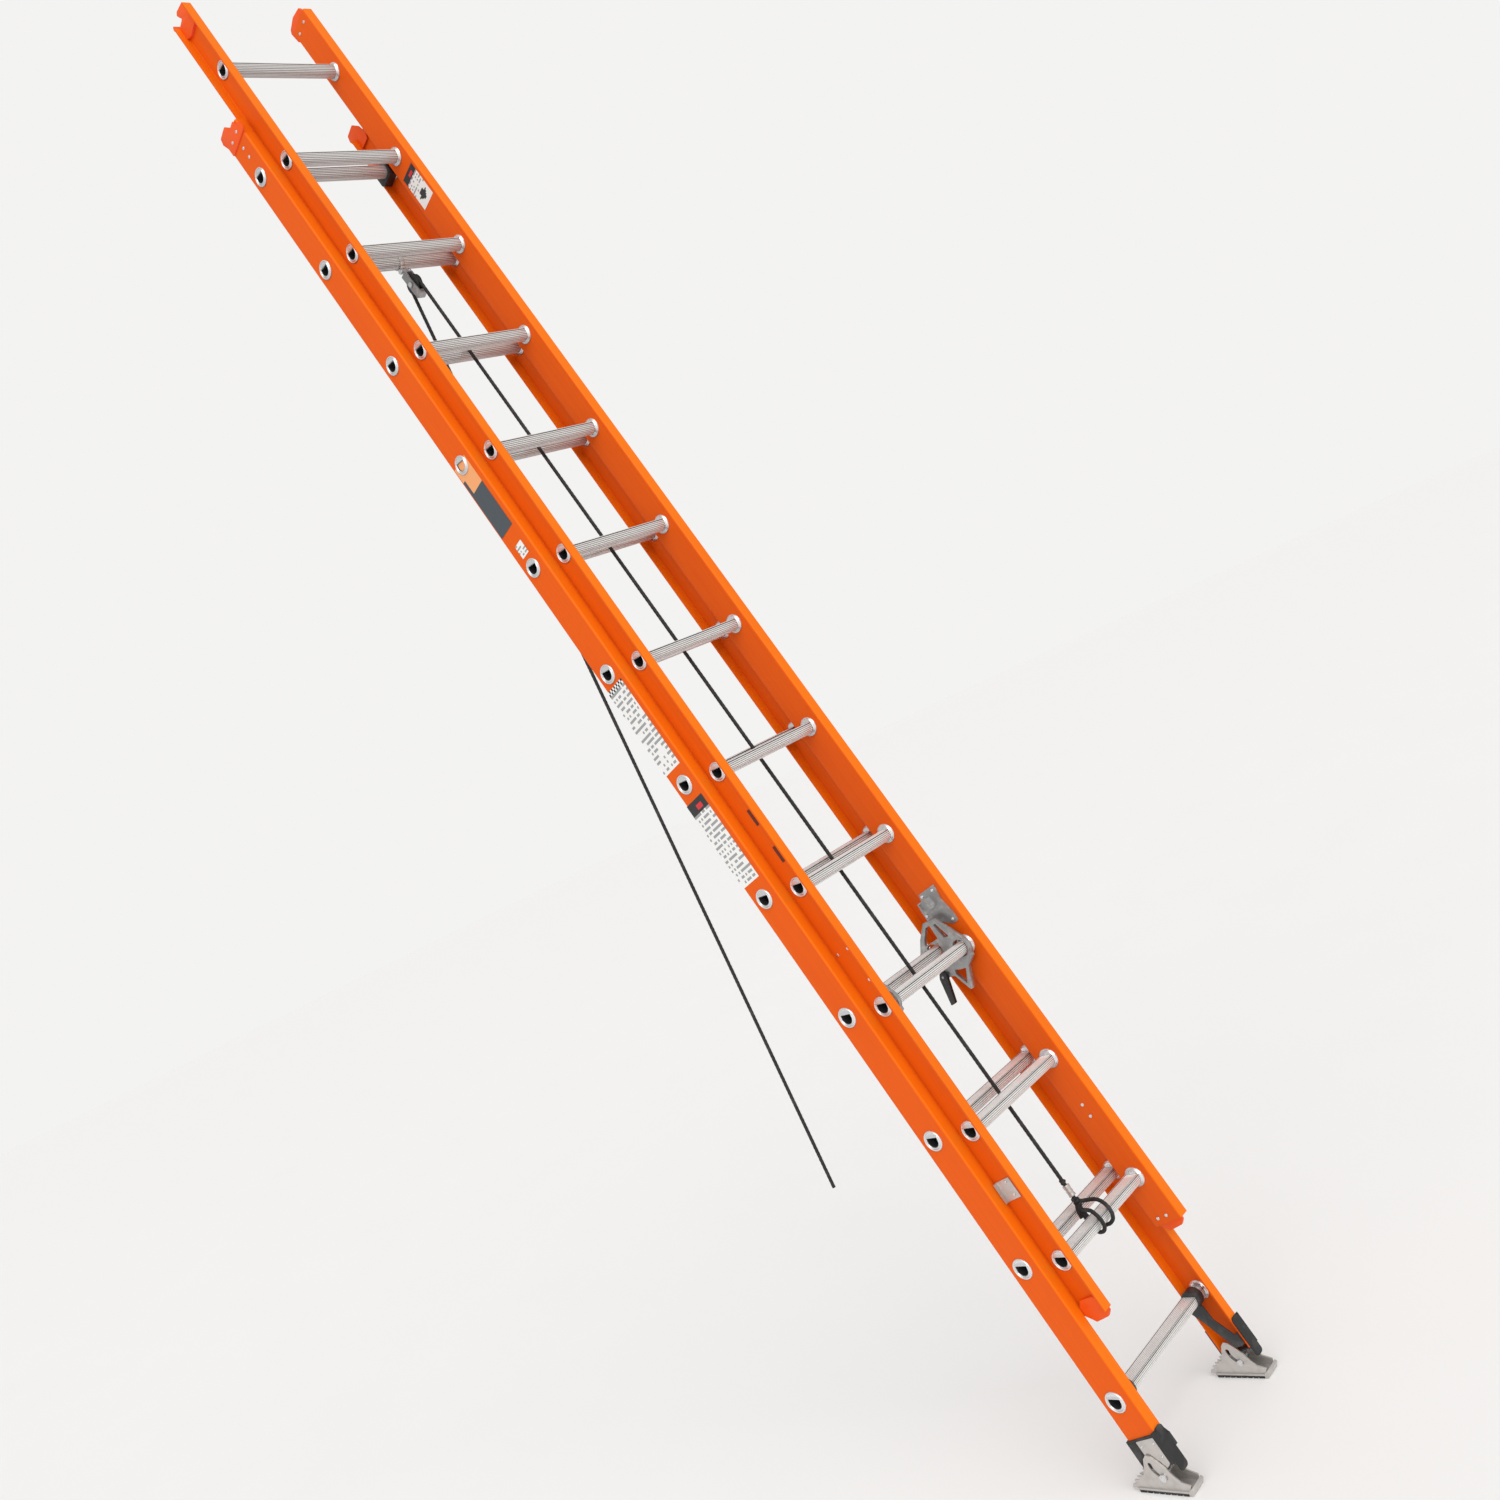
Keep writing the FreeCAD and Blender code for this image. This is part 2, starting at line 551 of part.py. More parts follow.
def rope_knot():
    """The stopper, the knot and the two turns round the fly's last rung."""
    up = Vector(0, 0, 1)
    bump = Part.makeCylinder(BUMP_R, BUMP_LENGTH, ROPE_FOOT - up * BUMP_LENGTH, up)
    bump = bump.makeFillet(BUMP_ROUND, bump.Edges[:1] + bump.Edges[2:])
    reach = ROPE_FOOT_RISE - BUMP_LENGTH / 2 - KNOT_RISE
    core = Part.makeCylinder(ROPE_R, reach, knot_point(ROPE_FOOT_X, KNOT_RISE), up)
    lump = Part.makeSphere(KNOT_R, knot_point(ROPE_FOOT_X, KNOT_RISE))
    shapes = [bump.fuse([core, lump])]
    for x in KNOT_LOOP_X:
        middle = Vector(x, 0, FLY_LAST_RUNG)
        ring = Part.makeTorus(KNOT_LOOP_R, ROPE_R, middle, X_AXIS)
        ring.rotate(middle, up, LOOP_TILT / 2)
        top = Vector(x, KNOT_LOOP_R * 0.5, FLY_LAST_RUNG + KNOT_LOOP_R * 0.8)
        reach = knot_point(ROPE_FOOT_X, KNOT_RISE) - top
        shapes += [ring.fuse(Part.makeCylinder(ROPE_R * TAIL_SHARE, reach.Length, top, reach))]
    return shapes[0].fuse(shapes[1:]).removeSplitter()


def rope_sleeve():
    """A crimped sleeve on the rope above the knot."""
    low = knot_point(ROPE_FOOT_X, SLEEVE_RISE[0])
    length = SLEEVE_RISE[1] - SLEEVE_RISE[0]
    tube = Part.makeCylinder(SLEEVE_R, length, low, Vector(0, 0, 1))
    tube = tube.makeFillet(SLEEVE_ROUND, [tube.Edges[0], tube.Edges[2]])
    return tube.cut(Part.makeCylinder(ROPE_R + RUNG_FIT, length, low, Vector(0, 0, 1)))


# lower end of the base rails, drawn for the right-hand side

BRACKET_OUTLINE = [(-31, -84), (17, -84), (17, -128), (14, -166), (5, -172), (-5, -166), (-12, -150),
                   (-31, -140)]
BRACKET_RIVETS = [(-24, -95), (-24, -124), (10, -96)]
BOOT_THICK = 3.0
BOOT_ROUND = 8.0
BOOT_FLAP = (-24.0, 67.0)
BOOT_BACK = (-9.0, 59.0)
BOOT_SHOULDER = (14.0, 61.0)
EAR_OUTLINE = [(-93, -171), (-72, -164), (-62, -153), (-52, -137), (-40, -124), (-27, -113), (-16, -111),
               (-7, -120), (0, -138), (8, -153), (27, -171), (30, -185), (-85, -185)]
SPUR_OUTLINE = [(8, -158), (18, -152), (16, -160), (28, -159), (26, -167), (38, -168), (36, -175),
                (47, -178), (50, -185), (22, -185)]
TOE_OUTLINE = [(-82, -189), (-86, -181), (-93, -176), (-97, -180), (-90, -193), (-84, -193)]
TOE_SPREAD = 3.0
EAR_ROUND = 2.0
SOLE_Y = (-84.0, 36.0)
PAD_Y = (-80.0, 34.0)
PAD_GROOVE = 4.0
PAD_GROOVE_DEPTH = 2.5
PAD_GROOVE_PITCH = 14.0
PAD_GROOVES = 7


def foot_bracket():
    """The steel plate riveted to the foot of the rail that carries the foot's bolt."""
    outline = placed(BRACKET_OUTLINE, BASE_PLANE, FOOT_Z)
    outer = sheet(outline, BASE_OUTER, BASE_OUTER + PLATE, PLATE_ROUND)
    y, z = level(BOLT_Y, -BOLT_DROP)
    return outer.cut(rod_x(BASE_OUTER - CUT, BASE_OUTER + PLATE + CUT, y, z, BOLT_R + RUNG_FIT))


def rail_boot():
    """A rubber boot round the rail's end and the foot bracket, with a long front flap."""
    front, rear = BASE_PLANE - BASE_FRONT, BASE_PLANE + BASE_REAR
    x = (BASE_OUTER - BASE_FLANGE_WIDTH, BASE_OUTER)
    flap = box(x, (front - BOOT_THICK, front), (BASE_BOTTOM + BOOT_FLAP[0], BASE_BOTTOM + BOOT_FLAP[1]))
    back = box(x, (rear, rear + BOOT_THICK), (BASE_BOTTOM + BOOT_BACK[0], BASE_BOTTOM + BOOT_BACK[1]))
    close = box(x, (front - BOOT_THICK, rear + BOOT_THICK), (BASE_BOTTOM - BOOT_THICK, BASE_BOTTOM))
    corners = [e for e in flap.Edges if abs(e.tangentAt(e.FirstParameter).y) > 0.99]
    flap = flap.makeFillet(BOOT_ROUND, corners)
    y0, y1 = front - BOOT_THICK, rear + BOOT_THICK
    outline = [(y0, -BOOT_THICK), (y0, BOOT_FLAP[1]), (front + BOOT_SHOULDER[0], BOOT_SHOULDER[1]),
               (y1, BOOT_BACK[1]), (y1, -BOOT_THICK)]
    wrap = (BASE_OUTER, BASE_OUTER + PLATE)
    bracket = sheet(placed(BRACKET_OUTLINE, BASE_PLANE, FOOT_Z), *wrap, PLATE_ROUND)
    side = sheet(placed(outline, 0, BASE_BOTTOM), *wrap).cut(bracket)
    return flap.fuse([back, close, side]).removeSplitter()


def ear_x():
    """The two ears' X ranges, outside the bracket and inside the flange tips."""
    outer = BASE_OUTER + PLATE + EAR_GAP
    inner = BASE_OUTER - BASE_FLANGE_WIDTH - EAR_GAP
    return (inner - EAR_THICK, inner), (outer, outer + EAR_THICK)


def pivot():
    """Centre of the curved slot, level frame: the bolt meets both slot ends as the foot turns."""
    run, rise = SLOT_Y - BOLT_Y, BOLT_DROP - SLOT_DROP
    chord = hypot(run, rise)
    back = chord / 2 / tan(radians(FLIP_ANGLE) / 2)
    y = (SLOT_Y + BOLT_Y) / 2 - back * rise / chord
    z = -(SLOT_DROP + BOLT_DROP) / 2 + back * run / chord
    return y, z


def slot_cut(x0, x1):
    """The curved slot for the bolt, about the pivot, drawn level."""
    y, z = pivot()
    radius = hypot(BOLT_Y - y, -BOLT_DROP - z)
    start = degrees(atan2(-BOLT_DROP - z, BOLT_Y - y))
    width = BOLT_R + BOLT_CLEAR
    middle = Vector(x0, y, z)
    ends = [rod_x(x0, x1, BOLT_Y, -BOLT_DROP, width), rod_x(x0, x1, SLOT_Y, -SLOT_DROP, width)]
    ring = Part.makeCylinder(radius + width, x1 - x0, middle, X_AXIS)
    ring = ring.cut(Part.makeCylinder(radius - width, x1 - x0, middle, X_AXIS))
    reach = 4 * radius
    corners = [(y, z)]
    for share in (0, 0.5, 1):
        turn = radians(start + share * FLIP_ANGLE)
        corners += [(y + reach * cos(turn), z + reach * sin(turn))]
    return ring.common(sheet(corners, x0, x1)).fuse(ends)


def foot_shoe():
    """The swivelling shoe: two ears, a sole plate, a short lip at the toe and spurs at the heel."""
    inner, outer = ear_x()
    ears = []
    for x in (inner, outer):
        ear = sheet(EAR_OUTLINE, x[0], x[1], EAR_ROUND)
        ears += [ear.cut(slot_cut(x[0] - CUT, x[1] + CUT)), sheet(SPUR_OUTLINE, x[0], x[1])]
    floor = -SOLE_DROP + PAD_THICK
    wide = (inner[0] - TOE_SPREAD, outer[1] + TOE_SPREAD)
    sole = box(wide, SOLE_Y, (floor, floor + SOLE_PLATE))
    toe = sheet(TOE_OUTLINE, wide[0], wide[1])
    return level_shape(sole.fuse(ears + [toe]).removeSplitter())


def tread_pad():
    """The rubber sole with cross ribs, bonded under the shoe."""
    inner, outer = ear_x()
    wide = (inner[0] - TOE_SPREAD, outer[1] + TOE_SPREAD)
    pad = box(wide, PAD_Y, (-SOLE_DROP, -SOLE_DROP + PAD_THICK))
    grooves = []
    for k in range(PAD_GROOVES):
        y = PAD_Y[0] + PAD_GROOVE_PITCH * (k + 1) - PAD_GROOVE / 2
        grooves += [box((wide[0] - CUT, wide[1] + CUT), (y, y + PAD_GROOVE),
                        (-SOLE_DROP - CUT, -SOLE_DROP + PAD_GROOVE_DEPTH))]
    return level_shape(pad.cut(grooves))


BRACE_SHY = 1.0
BRACE_FRONT = FLANGE + BRACE_SHY - BASE_FRONT
BRACE_OUTLINE = [(20, -10), (32, -28), (12, -62), (-18, -126), (BRACE_FRONT, -126), (BRACE_FRONT, -100),
                 (-12, -56), (-10, -20)]
BRACE_SPACE = 10.0
BRACE_COLLAR = 24.0
BRACE_LEAD = 11.5
BRACE_RIM = 4.0
BRACE_ROUND = 3.0
BRACE_TAB = (-126.0, -100.0)
BRACE_TAB_LAP = 9.0


def rung_brace():
    """A collar on the bottom rung's end with a strap down to the rail's front flange."""
    top = base_rung_z(RUNG_COUNT)
    tip = BASE_OUTER - BASE_FLANGE_WIDTH
    start = tip - BRACE_SPACE - PLATE
    clamp = (start - BRACE_LEAD, start - BRACE_LEAD + BRACE_COLLAR)
    collar = rod_x(clamp[0], clamp[1], BASE_PLANE, top, RUNG_R + BRACE_RIM)
    strap = sheet(placed(BRACE_OUTLINE, BASE_PLANE, top), start, start + PLATE, BRACE_ROUND)
    inside = BASE_PLANE - BASE_FRONT + FLANGE
    tab = box((start, tip + BRACE_TAB_LAP), (inside, inside + PLATE),
              (top + BRACE_TAB[0], top + BRACE_TAB[1]))
    hole = rung_hole(clamp[0] - CUT, clamp[1] + CUT, BASE_PLANE, top)
    return collar.fuse([strap, tab]).cut(hole).removeSplitter()


GUARD_LENGTH = 26.0
GUARD_GAP = 4.5
GUARD_ROUND = 9.0


def rung_guard():
    """A moulded bumper round the right-hand end of the top base rung."""
    x = (BASE_INNER - FERRULE_WIDTH - GUARD_LENGTH, BASE_INNER - FERRULE_WIDTH)
    rear = BASE_PLANE + BASE_REAR - GUARD_GAP
    block = box(x, (BASE_PLANE - FERRULE_R, rear), (-FERRULE_R, FERRULE_R))
    corners = [e for e in block.Edges if abs(e.tangentAt(e.FirstParameter).x) > 0.99]
    return block.makeFillet(GUARD_ROUND, corners).cut(rung_hole(x[0] - CUT, x[1] + CUT, BASE_PLANE, 0))


def base_bolts():
    """The bolts of the pulley, the braces and the feet."""
    half = BLOCK_INSIDE + CHEEK + BOLT_PLAY
    shapes = [bolt_x(PULLEY_X - half, PULLEY_X + half, y, z, BOLT_R, PULLEY_BOLT_HEAD)
              for y, z in ((BOLT_EYE_Y, BOLT_EYE_Z), (SHEAVE_Y, SHEAVE_Z))]
    inner, outer = ear_x()
    y, z = level(BOLT_Y, -BOLT_DROP)
    foot_bolt = bolt_x(inner[0] - BOLT_PLAY, outer[1] + BOLT_PLAY, y, z, BOLT_R, FOOT_BOLT_HEAD)
    return group(shapes + [mirrored(foot_bolt, side) for side in SIDES])


def riveted(places, x, y, z, outward, radius=RIVET_R):
    """A left and a right row of rivets on a face at x, at places from the point (y, z)."""
    row = [rivet(x, at_y, at_z, outward, radius) for at_y, at_z in placed(places, y, z)]
    return [mirrored(shape, side) for shape in row for side in SIDES]


def base_rivets():
    """The rivets of the top caps, the upper guides and the foot brackets."""
    outer = BASE_OUTER + PLATE
    return group(riveted(BASE_CAP_RIVETS, outer, BASE_PLANE, BASE_HEAD, 1)
                 + riveted(BASE_GUIDE_RIVETS, BASE_OUTER, BASE_PLANE, BASE_HEAD, 1)
                 + riveted(BRACKET_RIVETS, outer, BASE_PLANE, FOOT_Z, 1, BRACKET_RIVET_R))


def fly_rivets():
    """The rivets of the fly's caps, shoes, stops and lock brackets."""
    return group(riveted(FLY_CAP_RIVETS, FLY_INNER, 0, FLY_TOP, -1)
                 + riveted(FLY_END_RIVETS, FLY_INNER, 0, FLY_BOTTOM, -1)
                 + riveted(STOP_RIVETS, FLY_OUTER + PLATE, 0, FLY_LAST_RUNG, 1)
                 + riveted(STOP_RIVETS, FLY_INNER, 0, FLY_LAST_RUNG, -1)
                 + riveted(LOCK_BRACKET_RIVETS, FLY_INNER - PLATE, 0, LOCK_EYE_Z, -1)
                 + riveted(LOCK_BRACKET_RIVETS[:3], FLY_OUTER, 0, LOCK_EYE_Z, 1))


def stand(shape):
    """The shape leaned back from the rail frame, before the whole is set on the floor."""
    turned = shape.copy()
    turned.rotate(Vector(0, 0, 0), X_AXIS, -LEAN)
    return turned


def build():
    """Every node's shape in the rail frame, by name."""
    parts = {}
    numbers = range(1, RUNG_COUNT + 1)
    base_heights = [base_rung_z(n) for n in numbers]
    fly_heights = [fly_rung_z(n) for n in numbers]
    base = rails(base_heights, BASE_PLANE, base_rail_blank)
    fly = rails(fly_heights, 0, fly_rail_blank)
    for side in SIDES:
        parts["base_rail_" + side] = base[side]
        parts["fly_rail_" + side] = fly[side]
    for n in numbers:
        parts[f"base_rung_{n:02d}"] = rung(BASE_OUTER + RUNG_PROUD, BASE_PLANE, base_rung_z(n))
        parts[f"fly_rung_{n:02d}"] = rung(FLY_OUTER + RUNG_PROUD, 0, fly_rung_z(n))
    parts["base_rung_ferrules"] = ferrules(base_heights, BASE_PLANE, BASE_INNER, BASE_OUTER)
    parts["fly_rung_ferrules"] = ferrules(fly_heights, 0, FLY_INNER, FLY_OUTER)
    for side in SIDES:
        parts["fly_top_cap_" + side] = mirrored(fly_top_cap(side), side)
    makers = {"base_top_cap_": base_top_cap, "fly_end_cap_": fly_end_cap,
              "rung_lock_": rung_lock, "lock_flipper_": flipper, "foot_shoe_": foot_shoe,
              "foot_pad_": tread_pad}
    for name, maker in makers.items():
        for side in SIDES:
            parts[name + side] = mirrored(maker(), side)
    pairs = {"fly_stop_brackets": stop_bracket, "lock_brackets": lock_bracket,
             "foot_brackets": foot_bracket, "rail_boots": rail_boot, "rung_braces": rung_brace}
    for name, maker in pairs.items():
        parts[name] = group([mirrored(maker(), side) for side in SIDES])
    parts["rung_guard"] = rung_guard()
    parts["pulley_strap"] = pulley_strap()
    parts["pulley_block"] = pulley_block()
    parts["pulley_sheave"] = sheave()
    parts["base_bolts"] = base_bolts()
    parts["base_rivets"] = base_rivets()
    parts["fly_rivets"] = fly_rivets()
    parts["hoist_rope"] = hoist_rope()
    parts["rope_tail"] = rope_tail()
    parts["rope_knot"] = rope_knot()
    parts["rope_sleeve"] = rope_sleeve()
    return parts


CORDS = ("hoist_rope", "rope_tail", "rope_knot", "rope_sleeve")


def main():
    os.makedirs("parts", exist_ok=True)
    shapes = {name: stand(shape) for name, shape in build().items()}
    firm = [shape for name, shape in shapes.items() if name not in CORDS]
    bounds = Part.makeCompound(firm).optimalBoundingBox()
    origin = Vector(0, -(bounds.YMin + bounds.YMax) / 2, -bounds.ZMin)
    for name, shape in shapes.items():
        shape.translate(origin)
        shape.exportStep(f"parts/{name}.step")
        print(name, len(shape.Solids), round(shape.Volume), shape.isValid())
    print("box", bounds, "origin", origin)


main()
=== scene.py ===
# %% [markdown]
# # An extension ladder, dressed for its portrait
# The ladder's working parts come from the CAD model and never move here. This lesson gives them
# their finish, and models again what the eye stops at: ribbed rungs, swaged rings and laid rope.

# %% Load the frame
import bpy
import json
import random
from math import atan2, cos, hypot, pi, radians, sin
from mathutils import Matrix, Vector


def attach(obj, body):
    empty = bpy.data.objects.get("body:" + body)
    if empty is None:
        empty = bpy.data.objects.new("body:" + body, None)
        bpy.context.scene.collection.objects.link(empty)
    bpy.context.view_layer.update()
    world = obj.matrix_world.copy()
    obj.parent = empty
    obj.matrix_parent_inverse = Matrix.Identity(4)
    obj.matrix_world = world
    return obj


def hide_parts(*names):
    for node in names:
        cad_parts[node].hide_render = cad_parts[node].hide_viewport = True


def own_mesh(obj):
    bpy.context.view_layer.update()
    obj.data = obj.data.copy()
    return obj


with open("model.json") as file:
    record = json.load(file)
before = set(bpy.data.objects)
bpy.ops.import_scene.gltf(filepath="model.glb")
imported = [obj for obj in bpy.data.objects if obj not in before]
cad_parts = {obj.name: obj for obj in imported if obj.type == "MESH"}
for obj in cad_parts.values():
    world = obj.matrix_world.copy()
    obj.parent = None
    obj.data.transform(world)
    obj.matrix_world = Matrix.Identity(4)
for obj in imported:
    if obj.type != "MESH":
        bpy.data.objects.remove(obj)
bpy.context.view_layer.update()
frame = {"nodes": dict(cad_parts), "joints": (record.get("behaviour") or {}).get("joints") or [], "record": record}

# %% [markdown]
# A leaning ladder is awkward to model on. It is easier to work in the rails' own directions and
# lean the finished pieces. The fly rung that the locks turn on is the fixed point both share.

# %% The rail frame
LEAN = radians(14.5)
UP = Vector((0, sin(LEAN), cos(LEAN)))
BACK = Vector((0, cos(LEAN), -sin(LEAN)))
PITCH = 0.3048
RUNGS = 12
BASE_PLANE = 0.073
FLY_STEP = 0.2812
LOCK_RUNG = 10
joint_at = {joint["name"]: Vector(joint["pos_m"]) for joint in frame["joints"] if "pos_m" in joint}
eye = joint_at["rung_lock_left_swing"]
ORIGIN = Vector((0, eye.y, eye.z)) - UP * (FLY_STEP - (LOCK_RUNG - 1) * PITCH)
LEANING = Matrix.Translation(ORIGIN) @ Matrix.Rotation(-LEAN, 4, "X")
SIDES = {"left": -1, "right": 1}


def spot(x, y, z):
    """A place in the rail frame, as a point of the row frame."""
    return ORIGIN + Vector((x, 0, 0)) + BACK * y + UP * z


print("rail frame starts at", list(ORIGIN))

# %% [markdown]
# The camera looks almost level, but it is rolled by about 25 degrees, so that the long ladder
# crosses a square picture from corner to corner. It is placed first, because the ropes have to
# stay inside its view.

# %% Camera
CAMERA_PLACE = Vector((-2.29457, -2.77444, -1.73663))
CAMERA_TURN = (radians(90.7075), radians(25.2649), radians(-44.1386))
camera_data = bpy.data.cameras.new("portrait")
camera_data.lens = 34.706
camera_data.sensor_width = 36.0
camera_data.shift_x = 0.00691
camera_data.shift_y = -0.02369
camera = bpy.data.objects.new("portrait", camera_data)
camera.location = ORIGIN + CAMERA_PLACE
camera.rotation_euler = CAMERA_TURN
bpy.context.scene.collection.objects.link(camera)
bpy.context.scene.camera = camera
print("camera at", list(camera.location))

# %% [markdown]
# The studio is a pale floor under an even sky. A broad sun in front warms the flanges that face
# the climber, and a weaker one on the left opens up the outer webs. The sky is shown as pale as
# the floor, and lights the ladder less, so that the metal has something darker to mirror.

# %% Studio
def sun(name, direction, strength, spread, colour):
    light = bpy.data.lights.new(name, "SUN")
    light.energy, light.angle, light.color = strength, radians(spread), colour
    holder = bpy.data.objects.new(name, light)
    holder.rotation_euler = Vector(direction).to_track_quat("-Z", "Y").to_euler()
    bpy.context.scene.collection.objects.link(holder)


world = bpy.data.worlds.new("studio")
bpy.context.scene.world = world
world.use_nodes = True
nodes, links = world.node_tree.nodes, world.node_tree.links
shown_sky = nodes["Background"]
shown_sky.inputs["Color"].default_value = (0.90, 0.895, 0.888, 1.0)
lit_sky = nodes.new("ShaderNodeBackground")
lit_sky.inputs["Color"].default_value = (1.0, 0.99, 0.98, 1.0)
lit_sky.inputs["Strength"].default_value = 0.60
ray = nodes.new("ShaderNodeLightPath")
choice = nodes.new("ShaderNodeMixShader")
links.new(ray.outputs["Is Camera Ray"], choice.inputs["Fac"])
links.new(lit_sky.outputs["Background"], choice.inputs[1])
links.new(shown_sky.outputs["Background"], choice.inputs[2])
links.new(choice.outputs["Shader"], nodes["World Output"].inputs["Surface"])
sun("key", (0.25, 0.72, -0.66), 1.35, 50.0, (1.0, 0.98, 0.95))
sun("side", (0.90, 0.22, -0.40), 0.85, 60.0, (1.0, 1.0, 1.0))
bpy.context.scene.view_settings.view_transform = "Standard"
print("lights", [light.name for light in bpy.data.lights])

# %% [markdown]
# Every finish below is a small node tree. The helper makes a Principled shader and hands back a
# function that adds noise in object coordinates. Texture mapping scales by the size of a fleck, in
# metres, so a long thin size gives streaks that run along the rails.

# %% Material helpers
class Finish:
    """A material under construction."""

    def __init__(self, name, colour, roughness, metal=0.0):
        self.material = bpy.data.materials.new(name)
        self.material.use_nodes = True
        self.nodes = self.material.node_tree.nodes
        self.links = self.material.node_tree.links
        self.shader = self.nodes["Principled BSDF"]
        self.shader.inputs["Metallic"].default_value = metal
        self.colour = tuple(colour) + (1.0,)
        self.shader.inputs["Base Color"].default_value = self.colour
        self.shader.inputs["Roughness"].default_value = roughness
        self.height = None

    def place(self, size, turn=(0, 0, 0)):
        where = self.nodes.new("ShaderNodeTexCoord")
        mapping = self.nodes.new("ShaderNodeMapping")
        mapping.vector_type = "TEXTURE"
        mapping.inputs["Scale"].default_value = size
        mapping.inputs["Rotation"].default_value = turn
        self.links.new(where.outputs["Object"], mapping.inputs["Vector"])
        return mapping.outputs["Vector"]

    def noise(self, size, detail=3.0, turn=(0, 0, 0)):
        texture = self.nodes.new("ShaderNodeTexNoise")
        texture.inputs["Scale"].default_value = 1.0
        texture.inputs["Detail"].default_value = detail
        self.links.new(self.place(size, turn), texture.inputs["Vector"])
        return texture.outputs["Fac"]

    def span(self, value, low, high, start=0.3, end=0.7):
        """A value spread from start..end to low..high."""
        spread = self.nodes.new("ShaderNodeMapRange")
        spread.inputs["From Min"].default_value = start
        spread.inputs["From Max"].default_value = end
        spread.inputs["To Min"].default_value = low
        spread.inputs["To Max"].default_value = high
        self.links.new(value, spread.inputs["Value"])
        return spread.outputs["Result"]

    def tint(self, amount, colour):
        """Colour mixed over what is there, by an amount from 0 to 1."""
        mix = self.nodes.new("ShaderNodeMix")
        mix.data_type = "RGBA"
        self.links.new(amount, mix.inputs["Factor"])
        under = self.shader.inputs["Base Color"]
        if under.is_linked:
            self.links.new(under.links[0].from_socket, mix.inputs["A"])
        else:
            mix.inputs["A"].default_value = self.colour
        mix.inputs["B"].default_value = tuple(colour) + (1.0,)
        self.links.new(mix.outputs["Result"], self.shader.inputs["Base Color"])

    def facing(self, direction, start, end):
        """1 where the surface faces a direction, falling to 0 as it turns away."""
        where = self.nodes.new("ShaderNodeTexCoord")
        dot = self.nodes.new("ShaderNodeVectorMath")
        dot.operation = "DOT_PRODUCT"
        dot.inputs[1].default_value = direction
        self.links.new(where.outputs["Normal"], dot.inputs[0])
        return self.span(dot.outputs["Value"], 0.0, 1.0, start, end)

    def rough(self, value, low, high):
        self.links.new(self.span(value, low, high), self.shader.inputs["Roughness"])

    def bump(self, value, distance, strength=1.0):
        relief = self.nodes.new("ShaderNodeBump")
        relief.inputs["Distance"].default_value = distance
        relief.inputs["Strength"].default_value = strength
        self.links.new(value, relief.inputs["Height"])
        if self.height is not None:
            self.links.new(self.height, relief.inputs["Normal"])
        self.height = relief.outputs["Normal"]
        self.links.new(self.height, self.shader.inputs["Normal"])


RAILWISE = (-LEAN, 0, 0)
# The direction of the undersides that rung and ring metal paint darker, as painted shade.
UNDERSIDE = (0, 0.35, -0.94)
print("material helper ready")

# %% [markdown]
# The rails are pultruded glass fibre: orange resin drawn over glass strands. It is satin, streaked
# along its length and a little blotchy. Noise stretched along the rails gives the streaks with no
# picture to wrap, and the faces towards the climber are tinted lighter, as painted light from the front.

# %% Fibreglass
fibreglass = Finish("orange_fibreglass", (0.755, 0.100, 0.003), 0.45)
fibreglass.shader.inputs["Specular IOR Level"].default_value = 0.13
streak = fibreglass.noise((0.0035, 0.0035, 0.6), 4.0, RAILWISE)
blotch = fibreglass.noise((0.12, 0.12, 0.35), 3.0, RAILWISE)
grain = fibreglass.noise((0.0012, 0.0012, 0.004), 2.0, RAILWISE)
# Painted light: faces turned towards the climber get a lighter, yellower orange.
fibreglass.tint(fibreglass.facing(-BACK, 0.35, 0.95), (0.87, 0.178, 0.004))
fibreglass.tint(fibreglass.span(streak, 0.0, 0.30, 0.42, 0.75), (0.84, 0.150, 0.004))
fibreglass.tint(fibreglass.span(blotch, 0.0, 0.28, 0.5, 0.8), (0.66, 0.062, 0.002))
fibreglass.rough(streak, 0.38, 0.52)
fibreglass.bump(streak, 0.00018, 0.5)
fibreglass.bump(grain, 0.00008, 0.5)
print("made", fibreglass.material.name)

# %% [markdown]
# The caps are moulded plastic, a touch redder and smoother than the rails, with a fine pebble.
# The pebble could be displaced geometry, but it is finer than a millimetre, so bump is enough.

# %% Moulded caps
cap_plastic = Finish("orange_moulding", (0.80, 0.085, 0.006), 0.45)
cap_plastic.shader.inputs["Specular IOR Level"].default_value = 0.2
pebble = cap_plastic.noise((0.0011, 0.0011, 0.0011), 2.0)
cloud = cap_plastic.noise((0.02, 0.02, 0.02), 3.0)
# Painted light: the faces turned down the rails are tinted lighter and pinker.
cap_plastic.tint(cap_plastic.facing(-UP, 0.5, 0.9), (0.92, 0.11, 0.06))
cap_plastic.tint(cap_plastic.span(cloud, 0.0, 0.35), (0.90, 0.13, 0.02))
cap_plastic.rough(cloud, 0.34, 0.5)
cap_plastic.bump(pebble, 0.0001, 0.5)
print("made", cap_plastic.material.name)

# %% [markdown]
# Rungs are extruded aluminium, so their marks run across the ladder along X, and noise adds duller
# patches. The rings that hold them are rolled against the web, and are brighter.

